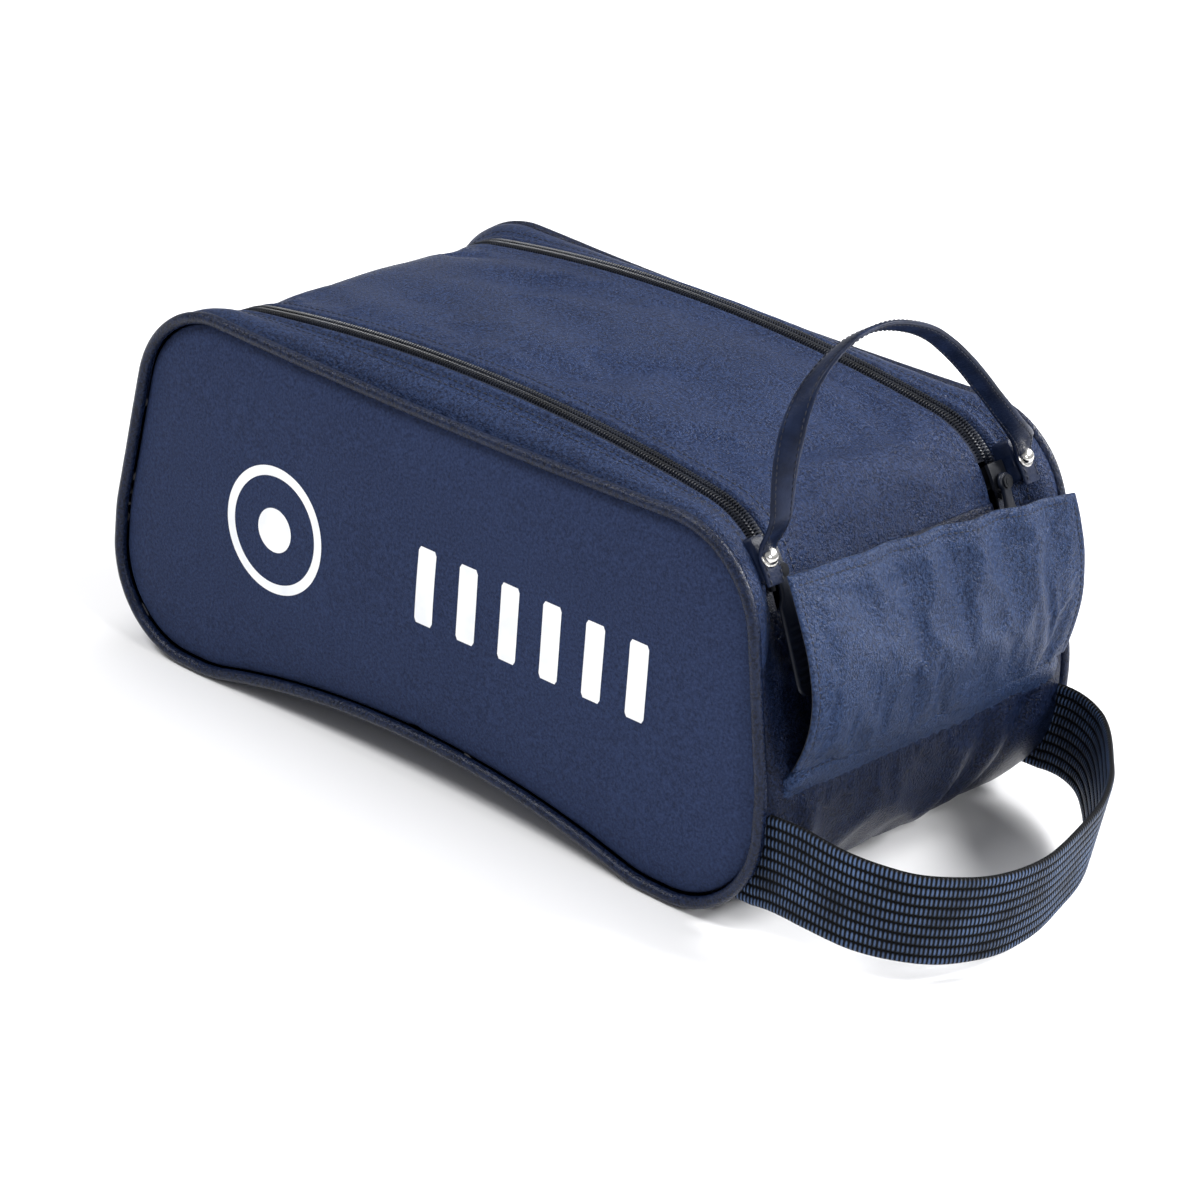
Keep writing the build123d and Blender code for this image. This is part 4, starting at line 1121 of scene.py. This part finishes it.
fold_start = world([(-151.0, 0, 116.0)])[0]
fold_end = world([(-141.0, 0, 123.0)])[0]
for piece, slot_name, nodes in lid_pieces:
    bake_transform(piece)
    if nodes:
        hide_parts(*nodes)

for piece, slot_name, nodes in (
    (flap_out, "body_fabric", ("end_flap",)),
    (flap_in, "lining_fabric", ("end_flap_lining",)),
    (flap_thread, "body_fabric", ()),
):
    tuple(world([(173, 0, 64.5)])[0])
    tuple(world([(173, 0, 71.0)])[0])
    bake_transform(piece)
    if nodes:
        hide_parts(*nodes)

for piece, nodes in ((strap, ("hang_loop", "front_loop_end", "back_loop_end")), (strap_thread, ())):
    tuple(world([(152.7, 0, 146.5)])[0])
    tuple(world([(152.7, 0, 158.0)])[0])
    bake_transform(piece)
    if nodes:
        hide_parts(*nodes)

tuple(world([(170, 0, 31)])[0])
tuple(world([(216, 0, 31)])[0])
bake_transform(handle)
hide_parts("carry_handle", "front_handle_end", "back_handle_end")

# ---- CAD nodes that stay
KEPT = {
    "panel_foam": foam_mat, "piping_cord": cord_mat, "base_board": board_mat, "slider": black_metal,
    "zip_stops": black_metal, "rivet_washer": nickel,
}
for name, obj in frame["nodes"].items():
    for ending, mat in KEPT.items():
        if name.endswith(ending):
            obj.data.materials.clear()
            obj.data.materials.append(mat)

# ---- floor, light and camera
floor_mat, tree, bsdf = material("Floor", rough=0.9, spec=0.1)
tc = tree.nodes.new("ShaderNodeTexCoord")
floor_tone = ramp(tree, add_noise(tree, tc.outputs["Object"], 3, 2),
                  [(0.3, (0.86, 0.86, 0.87)), (0.7, (0.89, 0.89, 0.90))])
tree.links.new(floor_tone, bsdf.inputs["Base Color"])
mesh = bpy.data.meshes.new("floor")
FLOOR_HALF, FLOOR_DROP = 30, 0.0005
corners = [(x * FLOOR_HALF, y * FLOOR_HALF, -FLOOR_DROP) for x, y in ((-1, -1), (1, -1), (1, 1), (-1, 1))]
mesh.from_pydata(corners, [], [(0, 1, 2, 3)])
floor = bpy.data.objects.new("floor", mesh)
mesh.materials.append(floor_mat)
bpy.context.scene.collection.objects.link(floor)
floor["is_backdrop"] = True


def area_light(name, place, aim, size, power):
    data = bpy.data.lights.new(name, "AREA")
    data.shape = "DISK"
    data.size = size
    data.energy = power
    obj = bpy.data.objects.new(name, data)
    bpy.context.scene.collection.objects.link(obj)
    obj.location = place
    obj.rotation_euler = (Vector(aim) - Vector(place)).to_track_quat("-Z", "Y").to_euler()


SKY = 0.45
area_light("Key", (-0.7, -1.1, 1.9), (0, 0, 0.08), 0.8, 30)
area_light("Sheen", (1.15, 0.75, 1.05), (0.12, 0, 0.10), 0.4, 17)
area_light("Shoulder", (0.55, 1.25, 0.95), (0.12, 0, 0.12), 0.6, 26)
area_light("Side", (1.7, -0.5, 0.9), (0.05, 0, 0.08), 0.35, 10)
area_light("Top", (-0.3, 0.2, 2.2), (0, 0, 0), 1.2, 14)
sky = bpy.data.worlds.new("Studio")
sky.use_nodes = True
sky.node_tree.nodes["Background"].inputs["Color"].default_value = (1, 1, 1, 1)
sky.node_tree.nodes["Background"].inputs["Strength"].default_value = SKY
bpy.context.scene.world = sky

AZIMUTH, ELEVATION, ROLL = radians(40.0), radians(24.07), radians(4.85)
FOCAL, DISTANCE = 125.1, 1.6285
look = Vector((-sin(AZIMUTH) * cos(ELEVATION), cos(AZIMUTH) * cos(ELEVATION), -sin(ELEVATION)))
target = Vector(world([(9.5, 0, 52.2)])[0])
right = look.cross(Vector((0, 0, 1))).normalized()
up = right.cross(look).normalized()
right, up = right * cos(ROLL) + up * sin(ROLL), up * cos(ROLL) - right * sin(ROLL)
cam_data = bpy.data.cameras.new("Camera")
cam_data.sensor_width = 36
cam_data.lens = FOCAL
cam_data.clip_end = 50
camera = bpy.data.objects.new("Camera", cam_data)
bpy.context.scene.collection.objects.link(camera)
rotation = Matrix((right, up, -look)).transposed()
camera.matrix_world = Matrix.Translation(target - look * DISTANCE) @ rotation.to_4x4()
bpy.context.scene.camera = camera
bpy.context.scene.view_settings.view_transform = "Standard"
bpy.context.scene.view_settings.look = "None"

low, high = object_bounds()
